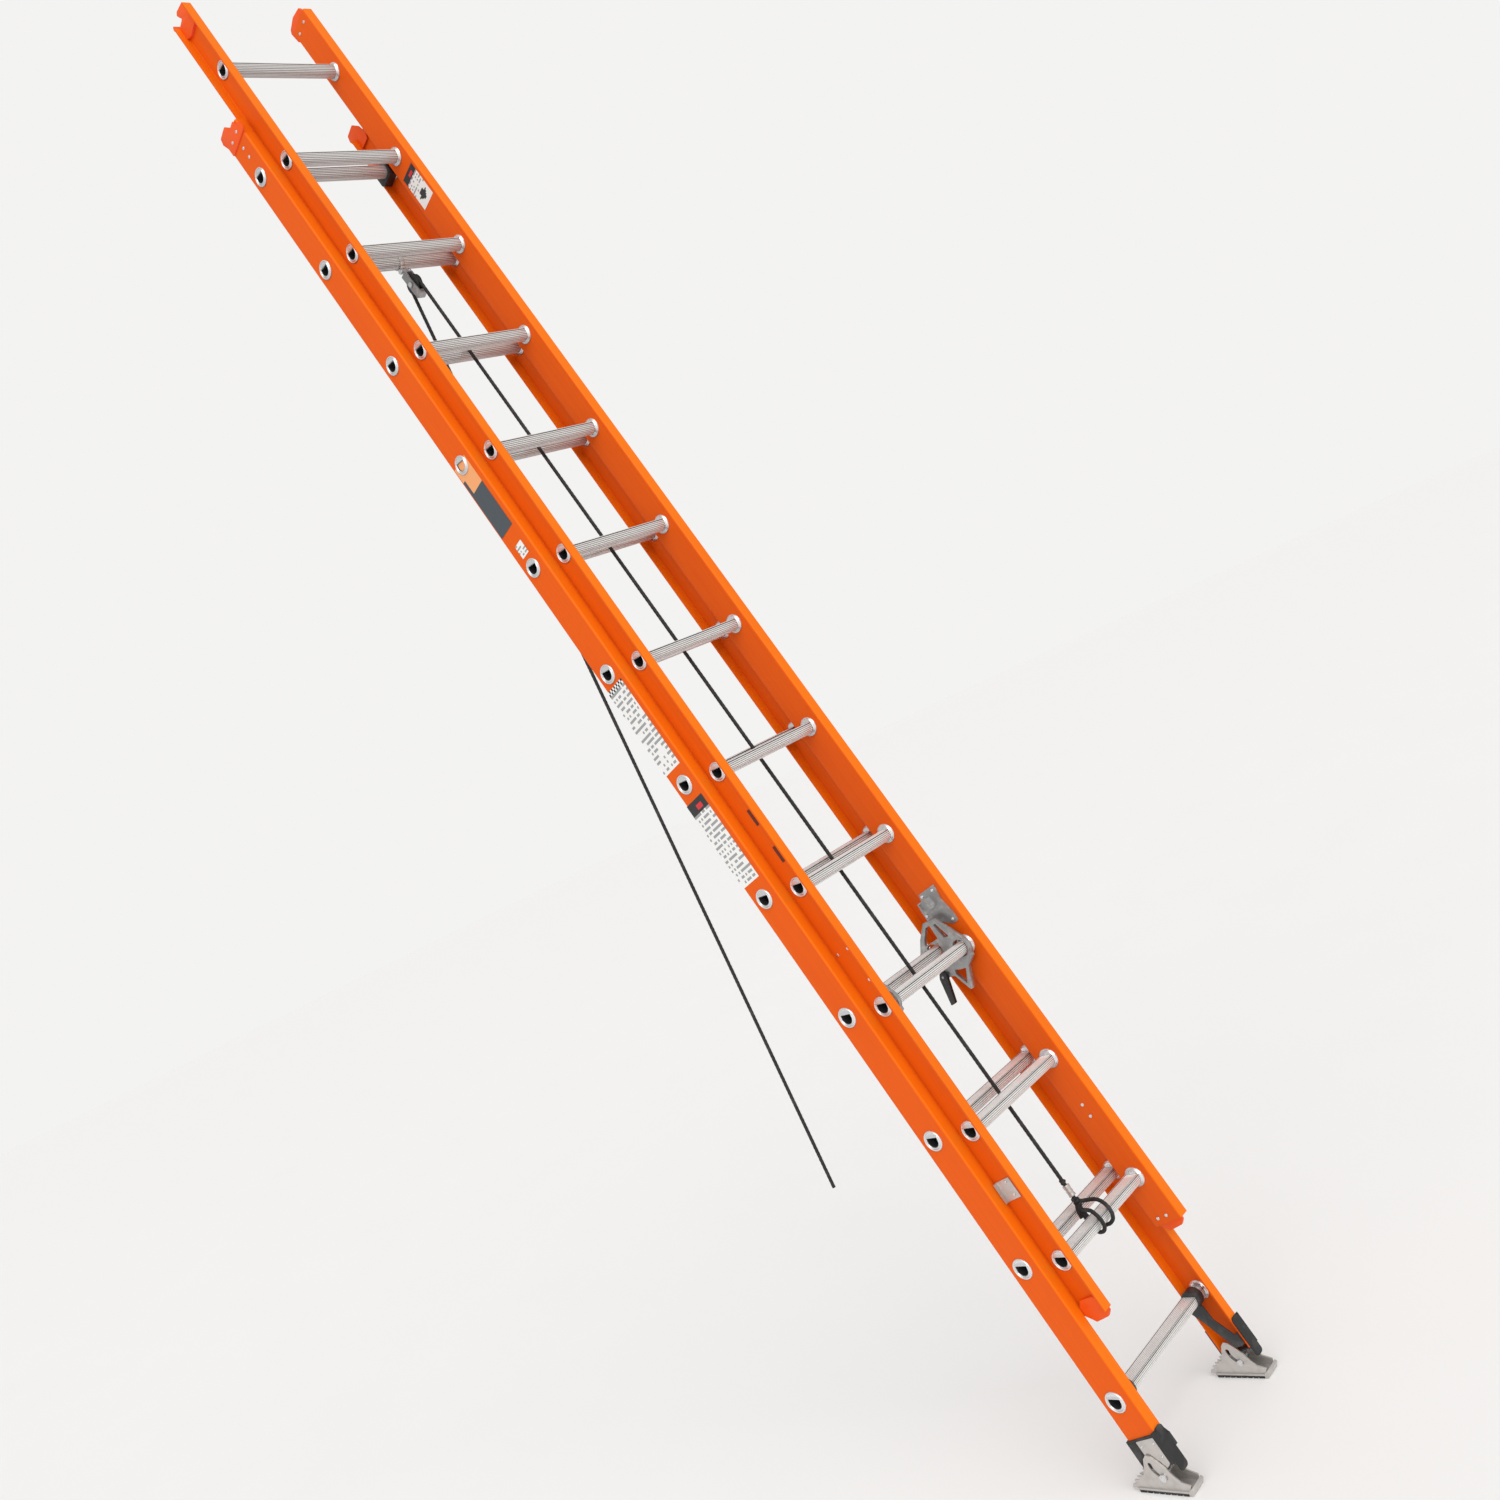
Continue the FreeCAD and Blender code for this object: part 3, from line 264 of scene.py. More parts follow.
# %% Aluminium
rung_metal = Finish("rung_aluminium", (0.94, 0.93, 0.915), 0.32, 0.45)
draw_marks = rung_metal.noise((0.25, 0.0009, 0.0009), 3.0)
dull = rung_metal.noise((0.05, 0.03, 0.03), 4.0)
# Painted shade: the undersides of the rungs are darkened to grey.
rung_metal.tint(rung_metal.facing(UNDERSIDE, 0.05, 0.9), (0.30, 0.29, 0.28))
rung_metal.tint(rung_metal.span(draw_marks, 0.0, 0.35, 0.45, 0.75), (0.62, 0.61, 0.59))
rung_metal.tint(rung_metal.span(dull, 0.0, 0.25, 0.45, 0.75), (0.60, 0.59, 0.58))
rung_metal.rough(dull, 0.28, 0.46)
rung_metal.bump(draw_marks, 0.00006, 0.6)
# Painted shade: the groove floors of the ribs take this darker grey, for the shade that falls in the grooves.
groove_shade = Finish("rung_groove_shade", (0.30, 0.29, 0.28), 0.5, 0.6)
groove_shade.rough(groove_shade.noise((0.02, 0.004, 0.004)), 0.42, 0.6)
ring_metal = Finish("ring_aluminium", (0.80, 0.80, 0.81), 0.26, 0.8)
swirl = ring_metal.noise((0.004, 0.0006, 0.0006), 3.0)
spots = ring_metal.noise((0.006, 0.006, 0.006), 3.0)
ring_metal.tint(ring_metal.span(spots, 0.0, 0.4, 0.5, 0.8), (0.6, 0.6, 0.62))
# Painted shade: the undersides of the rings are darkened.
ring_metal.tint(ring_metal.facing(UNDERSIDE, 0.0, 0.9), (0.34, 0.34, 0.35))
ring_metal.rough(spots, 0.2, 0.38)
ring_metal.bump(swirl, 0.00005, 0.5)
# Painted shade: the inside of each hollow rung is made near-black, for the shade inside the tube.
hollow_shade = Finish("rung_hollow_shade", (0.018, 0.019, 0.021), 0.7)
hollow_shade.rough(hollow_shade.noise((0.01, 0.01, 0.01)), 0.6, 0.85)
print("made aluminium finishes")

# %% [markdown]
# Castings are grey and grainy, plated steel is paler and smoother with faint rolling marks, and
# rivets are small enough that a bright dome with a few dull spots is all that shows.

# %% Cast and plated metal
cast_metal = Finish("cast_aluminium", (0.36, 0.37, 0.37), 0.5, 0.8)
sand = cast_metal.noise((0.0011, 0.0011, 0.0011), 3.0)
wear = cast_metal.noise((0.014, 0.014, 0.014), 5.0)
cast_metal.tint(cast_metal.span(wear, 0.0, 0.7, 0.5, 0.72), (0.62, 0.62, 0.61))
cast_metal.rough(wear, 0.36, 0.6)
cast_metal.bump(sand, 0.00016, 0.6)
plated = Finish("plated_steel", (0.58, 0.555, 0.53), 0.4, 0.75)
rolling = plated.noise((0.0008, 0.02, 0.0008), 3.0)
stain = plated.noise((0.018, 0.018, 0.018), 5.0)
plated.tint(plated.span(stain, 0.0, 0.55, 0.48, 0.75), (0.47, 0.44, 0.41))
plated.rough(stain, 0.3, 0.55)
plated.bump(rolling, 0.00005, 0.5)
rivet_metal = Finish("rivet_steel", (0.74, 0.75, 0.77), 0.25, 1.0)
specks = rivet_metal.noise((0.003, 0.003, 0.003), 3.0)
rivet_metal.tint(rivet_metal.span(specks, 0.0, 0.5, 0.5, 0.75), (0.45, 0.45, 0.46))
rivet_metal.rough(specks, 0.2, 0.42)
print("made cast and plated finishes")

# %% [markdown]
# The black pieces differ mostly in gloss: rubber is dull and dusty, mouldings are smoother, and
# the painted straps have a soft sheen with a grey film in patches.

# %% Blacks
def black(name, colour, low, high, grain_size, relief, dust):
    finish = Finish(name, colour, low)
    grit = finish.noise((grain_size,) * 3, 3.0)
    film = finish.noise((0.03, 0.03, 0.03), 5.0)
    finish.tint(finish.span(film, 0.0, dust, 0.5, 0.8), (0.16, 0.155, 0.15))
    finish.rough(film, low, high)
    finish.bump(grit, relief, 0.7)
    return finish


rubber = black("black_rubber", (0.016, 0.016, 0.017), 0.55, 0.8, 0.0009, 0.00015, 0.5)
moulding = black("black_moulding", (0.012, 0.012, 0.013), 0.32, 0.5, 0.0012, 0.00008, 0.25)
painted = black("black_paint", (0.02, 0.022, 0.024), 0.34, 0.52, 0.0025, 0.00008, 0.4)
rope_fibre = black("black_rope", (0.013, 0.013, 0.014), 0.6, 0.85, 0.0007, 0.0003, 0.35)
print("made four blacks")

# %% [markdown]
# A CAD node is a shell of loose triangles. To round its edges, its copy is merged, its flat faces
# are dissolved back into whole ones, and a bevel modifier runs along every crease. The copy then
# stands for the node, which keeps its place in the simulation.

# %% Helpers for pieces
def alone(piece):
    """Only this piece selected and active."""
    bpy.ops.object.select_all(action="DESELECT")
    piece.select_set(True)
    bpy.context.view_layer.objects.active = piece


def finish_piece(piece, finish, body, slot, *nodes):
    """Gives a piece its material and body, and hides what it replaces. The slot is not used."""
    piece.data.materials.clear()
    piece.data.materials.append(finish.material)
    seat(piece, body, slot, *nodes)


def seat(piece, body, slot, *nodes):
    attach(piece, body)
    if nodes:
        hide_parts(*nodes)


def settle(piece, place=None):
    """Bakes the piece's place, after leaning it back if it was drawn in the rail frame."""
    alone(piece)
    if place is not None:
        piece.matrix_world = place @ piece.matrix_world
    bpy.ops.object.transform_apply(location=True, rotation=True, scale=True)


def edit(piece):
    """Edit mode on one piece, with all of it selected."""
    alone(piece)
    bpy.ops.object.mode_set(mode="EDIT")
    bpy.ops.mesh.select_all(action="SELECT")


def leave_edit():
    bpy.ops.object.mode_set(mode="OBJECT")


def apply_modifier(piece, kind, **values):
    alone(piece)
    modifier = piece.modifiers.new(kind.lower(), kind)
    for name, value in values.items():
        setattr(modifier, name, value)
    bpy.ops.object.modifier_apply(modifier=modifier.name)


def bevelled(piece, width, segments=2, angle=30.0):
    apply_modifier(piece, "BEVEL", width=width, segments=segments, limit_method="ANGLE",
                   angle_limit=radians(angle))
    alone(piece)
    bpy.ops.object.shade_smooth_by_angle(angle=radians(angle))


def merged_copy(node):
    """A merged copy of a CAD node with whole flat faces."""
    piece = bpy.data.objects.new(node + "_shell", frame["nodes"][node].data.copy())
    bpy.context.scene.collection.objects.link(piece)
    edit(piece)
    bpy.ops.mesh.customdata_custom_splitnormals_clear()
    bpy.ops.mesh.remove_doubles(threshold=2e-6)
    bpy.ops.mesh.dissolve_limited(angle_limit=radians(0.4))
    leave_edit()
    return piece


def body_of(node):
    bodies = frame["record"]["behaviour"]["bodies"]
    return next(body for body, nodes in bodies.items() if node in nodes)


def slot_of(node):
    return next(part["material_slot"] for part in frame["record"]["subparts"] if part["node"] == node)


def softened(node, finish, width):
    """An eased copy that stands for a CAD node."""
    piece = merged_copy(node)
    bevelled(piece, width)
    finish_piece(piece, finish, body_of(node), slot_of(node), node)


print("piece helpers ready")

# %% [markdown]
# The rope is one length: from the knot on the fly's last rung it runs tight up to the pulley, turns
# over the wheel and hangs free behind. Both strands follow smooth curves through a few given
# points. Round the wheel the points are the corners of a polygon drawn about the rope's circle.

# %% The ropes' routes
ROPE_R = 0.0045
WHEEL_R = 0.021
KNOT_TOP = (0.005, 0.036, 0.097)
LAST_RUNG = FLY_STEP - (RUNGS - 1) * PITCH
TAIL_LENGTH = 2.53
NEAR = 0.054
hub = joint_at["sheave_spin"]
turn_total = pi - LEAN


def round_wheel(angle, reach=WHEEL_R):
    """A point beside the wheel, angle up from straight ahead."""
    return hub - BACK * (reach * cos(angle)) + UP * (reach * sin(angle))


leave = round_wheel(0)
turn_off = round_wheel(turn_total)
foot = spot(KNOT_TOP[0], KNOT_TOP[1], LAST_RUNG + KNOT_TOP[2])
along = (foot - leave).normalized()
hoist_route = [leave, leave + along * NEAR, (leave + foot) / 2, foot - along * NEAR, foot]
CORNERS = 4
corner_reach = WHEEL_R / cos(turn_total / CORNERS / 2)
corners = [round_wheel(turn_total * (k + 0.5) / CORNERS, corner_reach) for k in range(CORNERS)]
drop = TAIL_LENGTH - WHEEL_R * turn_total
DOWN = Vector((0, 0, -1))
tail_route = [leave] + corners + [turn_off + DOWN * NEAR, turn_off + DOWN * drop / 2,
                                  turn_off + DOWN * drop]
print("hoist strand", round((foot - leave).length, 3), "m")

# %% [markdown]
# A laid rope is three strands twisted together. Its outline is a rounded trefoil, which turns as it
# travels along the curve. Real strands give the ragged edge that a plain tube lacks.

# %% Laid rope
LOBES = 3
ROPE_SIDES = 18
LAY_LENGTH = 0.034
RING_STEP = 0.0032
LOBE_DEPTH = 0.16
LOBE_FULLNESS = 0.7


def smooth_path(name, route, step):
    """Evenly spaced points along the smooth curve that a route's points pull into shape."""
    data = bpy.data.curves.new(name, "CURVE")
    data.dimensions = "3D"
    data.resolution_u = 24
    spline = data.splines.new("NURBS")
    spline.points.add(len(route) - 1)
    for point, place in zip(spline.points, route):
        point.co = tuple(place) + (1.0,)
    spline.order_u = 3
    spline.use_endpoint_u = True
    holder = bpy.data.objects.new(name, data)
    bpy.context.scene.collection.objects.link(holder)
    bpy.context.view_layer.update()
    mesh = bpy.data.meshes.new_from_object(holder)
    fine = [vertex.co.copy() for vertex in mesh.vertices]
    bpy.data.objects.remove(holder)
    bpy.data.meshes.remove(mesh)
    path, due = [fine[0]], step
    for start, end in zip(fine, fine[1:]):
        run = (end - start).length
        while due <= run:
            path.append(start.lerp(end, due / run))
            due += step
        due -= run
    if (path[-1] - fine[-1]).length > step / 4:
        path.append(fine[-1])
    return path


def laid_rope(name, path):
    """A three-strand rope along a path, closed with a flat cap at each end."""
    side = (path[1] - path[0]).orthogonal().normalized()
    verts, faces = [], []
    travelled = 0.0
    for k, place in enumerate(path):
        before, after = path[max(k - 1, 0)], path[min(k + 1, len(path) - 1)]
        forward = (after - before).normalized()
        side = (side - forward * side.dot(forward)).normalized()
        other = forward.cross(side)
        travelled += (place - path[k - 1]).length if k else 0.0
        twist = 2 * pi * travelled / LAY_LENGTH
        for n in range(ROPE_SIDES):
            angle = 2 * pi * n / ROPE_SIDES
            lobe = abs(cos(LOBES * (angle - twist) / 2)) ** LOBE_FULLNESS
            reach = ROPE_R * (1 - LOBE_DEPTH + LOBE_DEPTH * lobe)
            verts.append(place + side * (reach * cos(angle)) + other * (reach * sin(angle)))
    rings = len(path)
    for k in range(rings - 1):
        for n in range(ROPE_SIDES):
            m = (n + 1) % ROPE_SIDES
            faces.append((k * ROPE_SIDES + n, k * ROPE_SIDES + m,
                          (k + 1) * ROPE_SIDES + m, (k + 1) * ROPE_SIDES + n))
    faces.append(tuple(reversed(range(ROPE_SIDES))))
    faces.append(tuple(range((rings - 1) * ROPE_SIDES, rings * ROPE_SIDES)))
    mesh = bpy.data.meshes.new(name)
    mesh.from_pydata(verts, [], faces)
    piece = bpy.data.objects.new(name, mesh)
    bpy.context.scene.collection.objects.link(piece)
    alone(piece)
    bpy.ops.object.shade_smooth_by_angle(angle=radians(60))
    return piece


print("rope is", 2 * ROPE_R, "m thick")

# %% [markdown]
# The tight strand shortens as the fly rises. A real rope runs over the wheel, which a stiff mesh
# can't do, so this one is squashed towards the wheel by the same share. The free strand stays as it
# is.

# %% Both strands
hoist_path = smooth_path("hoist_path", hoist_route, RING_STEP)
hoist = laid_rope("hoist_strand", hoist_path)
finish_piece(hoist, rope_fibre, "base", "rope", "hoist_rope")
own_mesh(hoist)
tail_path = smooth_path("tail_path", tail_route, RING_STEP)
tail = laid_rope("hanging_rope", tail_path)
finish_piece(tail, rope_fibre, "base", "rope", "rope_tail")
print("rope rings", len(hoist_path), len(tail_path))

# %% [markdown]
# The rope ends in a stopper bulge, a crimped sleeve, a tight knot and two turns round the rung.
# Each is a short rope on its own curve: the knot is a close helix, and the turns lean a little
# because both start from the knot.

# %% Knot, stopper and turns
def knot_spot(x, y, z):
    return spot(x, y, LAST_RUNG + z)


def coil_route(x, y, low, high, radius, turns, per_turn=8):
    """Points of a helix about a line along the rails."""
    count = int(turns * per_turn)
    points = []
    for k in range(count + 1):
        angle = 2 * pi * k / per_turn
        points.append(knot_spot(x + radius * cos(angle), y + radius * sin(angle),
                                low + (high - low) * k / count))
    return points


KNOT_X, KNOT_Y = KNOT_TOP[:2]
first_turn = [(0.009, 0.036, 0.044), (0.017, 0.032, 0.038), (0.021, 0.018, 0.034), (0.02, 0.0, 0.030),
              (0.014, -0.017, 0.021), (0.010, -0.0265, 0.004), (0.008, -0.022, -0.016),
              (0.006, -0.004, -0.0245), (0.003, 0.018, -0.018), (0.0, 0.029, 0.002),
              (0.001, 0.034, 0.024), (0.004, 0.036, 0.036)]
second_turn = [(0.001, 0.036, 0.036), (-0.002, 0.031, 0.028), (-0.008, 0.020, 0.0265),
               (-0.016, 0.004, 0.0265), (-0.025, -0.014, 0.0235), (-0.030, -0.026, 0.003),
               (-0.029, -0.022, -0.016), (-0.026, -0.004, -0.0245), (-0.019, 0.018, -0.018),
               (-0.010, 0.029, 0.002), (-0.002, 0.034, 0.022), (0.003, 0.036, 0.034)]
tail_tip = [(0.003, 0.038, 0.042), (0.0, 0.041, 0.034), (-0.003, 0.043, 0.024), (-0.004, 0.043, 0.012)]
knot_parts = []
for name, points in (("turn_a", first_turn), ("turn_b", second_turn), ("tip", tail_tip)):
    route = [knot_spot(*point) for point in points]
    knot_parts.append(laid_rope(name, smooth_path(name, route, RING_STEP)))
core = [knot_spot(KNOT_X, KNOT_Y, z) for z in (0.0965, 0.085, 0.07, 0.056, 0.044)]
knot_parts.append(laid_rope("core", smooth_path("core", core, RING_STEP)))
wrap = coil_route(KNOT_X, KNOT_Y, 0.033, 0.053, 0.0052, 2.6)
knot_parts.append(laid_rope("wrap", smooth_path("wrap", wrap, RING_STEP)))
bulge = coil_route(KNOT_X, KNOT_Y, 0.0885, 0.0965, 0.0030, 1.4)
knot_parts.append(laid_rope("bulge", smooth_path("bulge", bulge, RING_STEP)))
alone(knot_parts[0])
for part in knot_parts:
    part.select_set(True)
bpy.ops.object.join()
knot = knot_parts[0]
knot.name = "rope_knot_turns"
finish_piece(knot, rope_fibre, "fly", "rope", "rope_knot")
print("knot has", len(knot.data.polygons), "faces")

# %% [markdown]
# The sleeve is a short tube crimped on the rope. It starts as a cylinder. Its sides are bisected
# into bands, some of them are pressed inwards as a crimping tool leaves them, and every edge is
# bevelled, which a lathed profile would need many more points for.

# %% Crimped sleeve
SLEEVE_LOW, SLEEVE_HIGH, SLEEVE_R = 0.059, 0.085, 0.008
bpy.ops.object.select_all(action="DESELECT")
bpy.ops.mesh.primitive_cylinder_add(vertices=32, radius=SLEEVE_R, depth=SLEEVE_HIGH - SLEEVE_LOW,
                                    location=(KNOT_X, KNOT_Y, LAST_RUNG + (SLEEVE_LOW + SLEEVE_HIGH) / 2))
sleeve = bpy.context.object
sleeve.name = "crimped_sleeve"
settle(sleeve)
edit(sleeve)
BANDS = 9
CRIMP, EASED_CRIMP = 0.87, 0.92
for k in range(1, BANDS):
    bpy.ops.mesh.select_all(action="SELECT")
    height = LAST_RUNG + SLEEVE_LOW + (SLEEVE_HIGH - SLEEVE_LOW) * k / BANDS
    bpy.ops.mesh.bisect(plane_co=(0, 0, height), plane_no=(0, 0, 1))
leave_edit()
middle = Vector((KNOT_X, KNOT_Y))
for vertex in sleeve.data.vertices:
    share = (vertex.co.z - LAST_RUNG - SLEEVE_LOW) / (SLEEVE_HIGH - SLEEVE_LOW) * BANDS
    dented = 1.5 < share < BANDS - 1.5 and round(share) % 3 != 1
    if dented:
        radial = (vertex.co.xy - middle) * (CRIMP if round(share) % 3 else EASED_CRIMP)
        vertex.co.xy = middle + radial
bevelled(sleeve, 0.0008, 2, 40)
settle(sleeve, LEANING)
finish_piece(sleeve, plated, "fly", "plated_steel", "rope_sleeve")
print("sleeve has", len(sleeve.data.polygons), "faces")

# %% [markdown]
# A rung is a hollow D extrusion, ribbed all round, with its tread level when the ladder leans. Its
# outline is a circle of points, moved onto the D and sunk in threes to make the ribs. The outline is
# extruded along X, cleaned, and given its wall by a solidify modifier. One rung of each length is
# modelled, and the rest are copies.

# %% Rungs
RUNG_R, TREAD, RUNG_WALL, RIB = 0.017, 0.010, 0.0024, 0.0009
RUNG_POINTS, RIB_POINTS = 150, 6
GROOVE_SHARE = 0.8
BASE_OUTER, FLY_OUTER = 0.1975, 0.163
WEB = 0.004
PROUD = 0.0026


def d_corner(share, radius, tread, sink):
    """(y, z) of a point part of the way round the D section."""
    arc, top = pi * radius, 2 * radius
    along_edge = share * (arc + 2 * tread + top)
    if along_edge < arc:
        angle = along_edge / radius
        return (radius - sink) * cos(angle), -(radius - sink) * sin(angle)
    if along_edge < arc + tread:
        return sink - radius, along_edge - arc
    if along_edge < arc + tread + top:
        return along_edge - arc - tread - radius, tread - sink
    return radius - sink, tread - (along_edge - arc - tread - top)


def d_depth(y, z):
    """How far a point lies inside the D section."""
    return RUNG_R - hypot(y, z) if z <= 0 else min(RUNG_R - abs(y), TREAD - z)


def make_rung(name, half):
    bpy.ops.object.select_all(action="DESELECT")
    bpy.ops.mesh.primitive_circle_add(vertices=RUNG_POINTS, radius=RUNG_R, fill_type="NOTHING",
                                      location=(-half, 0, 0), rotation=(0, pi / 2, 0))
    rung = bpy.context.object
    rung.name = name
    settle(rung)
    for k, vertex in enumerate(rung.data.vertices):
        sink = RIB if k % RIB_POINTS < RIB_POINTS / 2 else 0.0
        vertex.co.y, vertex.co.z = d_corner(k / RUNG_POINTS, RUNG_R, TREAD, sink)
    edit(rung)
    bpy.ops.mesh.extrude_region_move(TRANSFORM_OT_translate={"value": (2 * half, 0, 0)})
    bpy.ops.mesh.select_all(action="SELECT")
    bpy.ops.mesh.normals_make_consistent(inside=False)
    leave_edit()
    lowest = min(rung.data.polygons, key=lambda face: face.center.z)
    if lowest.normal.z > 0:
        rung.data.flip_normals()
    # Material slots: bare metal, the painted groove shade, and the painted hollow shade twice, so that the inner
    # shell's offset finds it.
    for finish in (rung_metal, groove_shade, hollow_shade, hollow_shade):
        rung.data.materials.append(finish.material)
    for face in rung.data.polygons:
        y, z = face.center.y, face.center.z
        # The groove floors take the darker material, painted shade in the ribs.
        face.material_index = int(d_depth(y, z) > GROOVE_SHARE * RIB)
    # The inner shell takes the near-black material, painted shade inside the rung.
    apply_modifier(rung, "SOLIDIFY", thickness=RUNG_WALL, offset=-1.0, material_offset=2,
                   material_offset_rim=0)
    alone(rung)
    bpy.ops.object.shade_smooth_by_angle(angle=radians(25))
    return rung


def copy_to(original, name, place):
    """A copy with its own mesh, moved to a place of the row frame."""
    piece = bpy.data.objects.new(name, original.data.copy())
    bpy.context.scene.collection.objects.link(piece)
    piece.data.transform(Matrix.Translation(place))
    return piece


def base_z(number):
    return -(number - 1) * PITCH


def fly_z(number):
    return FLY_STEP - (number - 1) * PITCH


patterns = {"base": make_rung("base_rung_pattern", BASE_OUTER + PROUD),
            "fly": make_rung("fly_rung_pattern", FLY_OUTER + PROUD)}
rung_places = {"base": [spot(0, BASE_PLANE, base_z(n)) for n in range(1, RUNGS + 1)],
               "fly": [spot(0, 0, fly_z(n)) for n in range(1, RUNGS + 1)]}
for section, places in rung_places.items():
    for n, place in enumerate(places, 1):
        node = f"{section}_rung_{n:02d}"
        piece = copy_to(patterns[section], node + "_ribbed", place)
        seat(piece, section, "rung_aluminium", node)
    bpy.data.objects.remove(patterns[section])
print("rungs done")

# %% [markdown]
# Each rung is held by a ring rolled against the web, one inside and one outside. The ring starts as
# a circle, and is extruded and resized step by step through its rounded profile. Its last loops are
# pulled from circles onto the D of the rung: the inner ring hugs it, and the outer one rolls over its
# wall in a thin lip. The last loop is bridged back to the web, so that the ring is closed.

# %% Swaged rings
RING_POINTS = 48
OUTER_STEPS = [(0.0230, 0.0), (0.0232, 0.0012), (0.0228, 0.0024), (0.0218, 0.0034), (0.0204, 0.0037),
               (0.0195, 0.0031), (0.0190, 0.0024)]
OUTER_LIP = [(0.0176, 0.0106, 0.0030), (0.0168, 0.0098, 0.0040), (0.0158, 0.0088, 0.0043),
             (0.0150, 0.0080, 0.0038), (0.0147, 0.0077, 0.0028)]
INNER_STEPS = [(0.0230, 0.0), (0.0234, 0.0014), (0.0230, 0.0028), (0.0218, 0.0040), (0.0206, 0.0046),
               (0.0199, 0.0054), (0.0195, 0.0062)]
INNER_LIP = [(0.0173, 0.0103, 0.0072)]


def d_reach(angle, radius, tread):
    """How far the D section's edge lies from its axis in a direction."""
    if sin(angle) <= 0:
        return radius
    return min(radius / max(abs(cos(angle)), 1e-6), tread / sin(angle))


def make_ring(name, steps, lip):
    """A closed ring that stands on the plane X = 0: round steps, then D-shaped ones."""
    bpy.ops.object.select_all(action="DESELECT")
    bpy.ops.mesh.primitive_circle_add(vertices=RING_POINTS, radius=steps[0][0], fill_type="NOTHING",
                                      rotation=(0, pi / 2, 0))
    ring = bpy.context.object
    ring.name = name
    settle(ring)
    edit(ring)
    height = steps[0][1]
    for (radius, _), (wider, higher) in zip(steps, steps[1:]):
        bpy.ops.mesh.extrude_region_move(TRANSFORM_OT_translate={"value": (higher - height, 0, 0)})
        share = wider / radius
        bpy.ops.transform.resize(value=(1, share, share), center_override=(higher, 0, 0))
        height = higher
    for radius, tread, higher in lip:
        bpy.ops.mesh.extrude_region_move(TRANSFORM_OT_translate={"value": (higher - height, 0, 0)})
        height = higher
        leave_edit()
        for vertex in ring.data.vertices:
            if vertex.select:
                angle = atan2(vertex.co.z, vertex.co.y)
                reach = d_reach(angle, radius, tread)
                vertex.co.y, vertex.co.z = reach * cos(angle), reach * sin(angle)
        bpy.ops.object.mode_set(mode="EDIT")
    bpy.ops.mesh.select_all(action="DESELECT")
    bpy.ops.mesh.select_non_manifold(extend=False, use_boundary=True)
    bpy.ops.mesh.bridge_edge_loops()
    bpy.ops.mesh.select_all(action="SELECT")
    bpy.ops.mesh.normals_make_consistent(inside=False)
    leave_edit()
    alone(ring)
    bpy.ops.object.shade_smooth_by_angle(angle=radians(50))
    return ring


outer_ring = make_ring("outer_ring", OUTER_STEPS, OUTER_LIP)
inner_ring = make_ring("inner_ring", INNER_STEPS, INNER_LIP)
HALF_TURN = Matrix.Rotation(pi, 4, "Z")


def ring_set(name, places, outer_x, node, body):
    """All of a section's rings as one piece."""
    rings = []
    for place in places:
        for side in SIDES.values():
            for pattern, x, outward in ((outer_ring, outer_x, side), (inner_ring, outer_x - WEB, -side)):
                ring = copy_to(pattern, name, Vector((0, 0, 0)))
                if outward < 0:
                    ring.data.transform(HALF_TURN)
                ring.data.transform(Matrix.Translation(place + Vector((side * x, 0, 0))))
                rings.append(ring)
    alone(rings[0])
    for ring in rings:
        ring.select_set(True)
    bpy.ops.object.join()
    finish_piece(rings[0], ring_metal, body, "ferrule_aluminium", node)
    return rings[0]


for section, outer_x in (("base", BASE_OUTER), ("fly", FLY_OUTER)):
    rings = ring_set(section + "_swaged_rings", rung_places[section], outer_x,
                     section + "_rung_ferrules", section)
    print(rings.name, len(rings.data.polygons), "faces")
for pattern in (outer_ring, inner_ring):
    bpy.data.objects.remove(pattern)

# %% [markdown]
# Caps and brackets keep the CAD shape with their edges eased: sharp corners catch no light, and a
# real moulding or stamping never has one. They could be modelled again by hand, but a bevel on the
# exact shape is truer. The rails are rounded already, and only take a finish.

# %% Eased caps and brackets
EASED = {
    "base_top_cap_left": (cap_plastic, 0.0007), "base_top_cap_right": (cap_plastic, 0.0007),
    "fly_top_cap_left": (cap_plastic, 0.0012), "fly_top_cap_right": (cap_plastic, 0.0012),
    "fly_end_cap_left": (cap_plastic, 0.0012), "fly_end_cap_right": (cap_plastic, 0.0012),
    "lock_brackets": (cast_metal, 0.0005), "fly_stop_brackets": (plated, 0.0005),
    "foot_brackets": (plated, 0.0005), "foot_shoe_left": (plated, 0.0006),
    "foot_shoe_right": (plated, 0.0006), "foot_pad_left": (rubber, 0.0008),
    "foot_pad_right": (rubber, 0.0008), "rail_boots": (rubber, 0.0008),
    "rung_braces": (painted, 0.0006), "rung_guard": (moulding, 0.0012),
    "lock_flipper_left": (moulding, 0.0009), "lock_flipper_right": (moulding, 0.0009),
    "rung_lock_left": (cast_metal, 0.0011), "rung_lock_right": (cast_metal, 0.0011),
    "pulley_strap": (plated, 0.0004), "pulley_block": (cast_metal, 0.0008),
}
for node, (finish, width) in EASED.items():
    softened(node, finish, width)
KEPT = {"pulley_sheave": moulding, "base_bolts": rivet_metal, "base_rivets": rivet_metal,
        "fly_rivets": rivet_metal, "base_rail_left": fibreglass, "base_rail_right": fibreglass,
        "fly_rail_left": fibreglass, "fly_rail_right": fibreglass}
for node, finish in KEPT.items():
    shown = frame["nodes"][node]
    shown.data.materials.clear()
    shown.data.materials.append(finish.material)
print("eased", len(EASED), "nodes and kept", len(KEPT))

# %% [markdown]
# The stickers are thin sheets laid on the webs. A grid is cut into rows and columns, and each cell
# takes one of the print colours, so that they read as printed panels with no words on them.

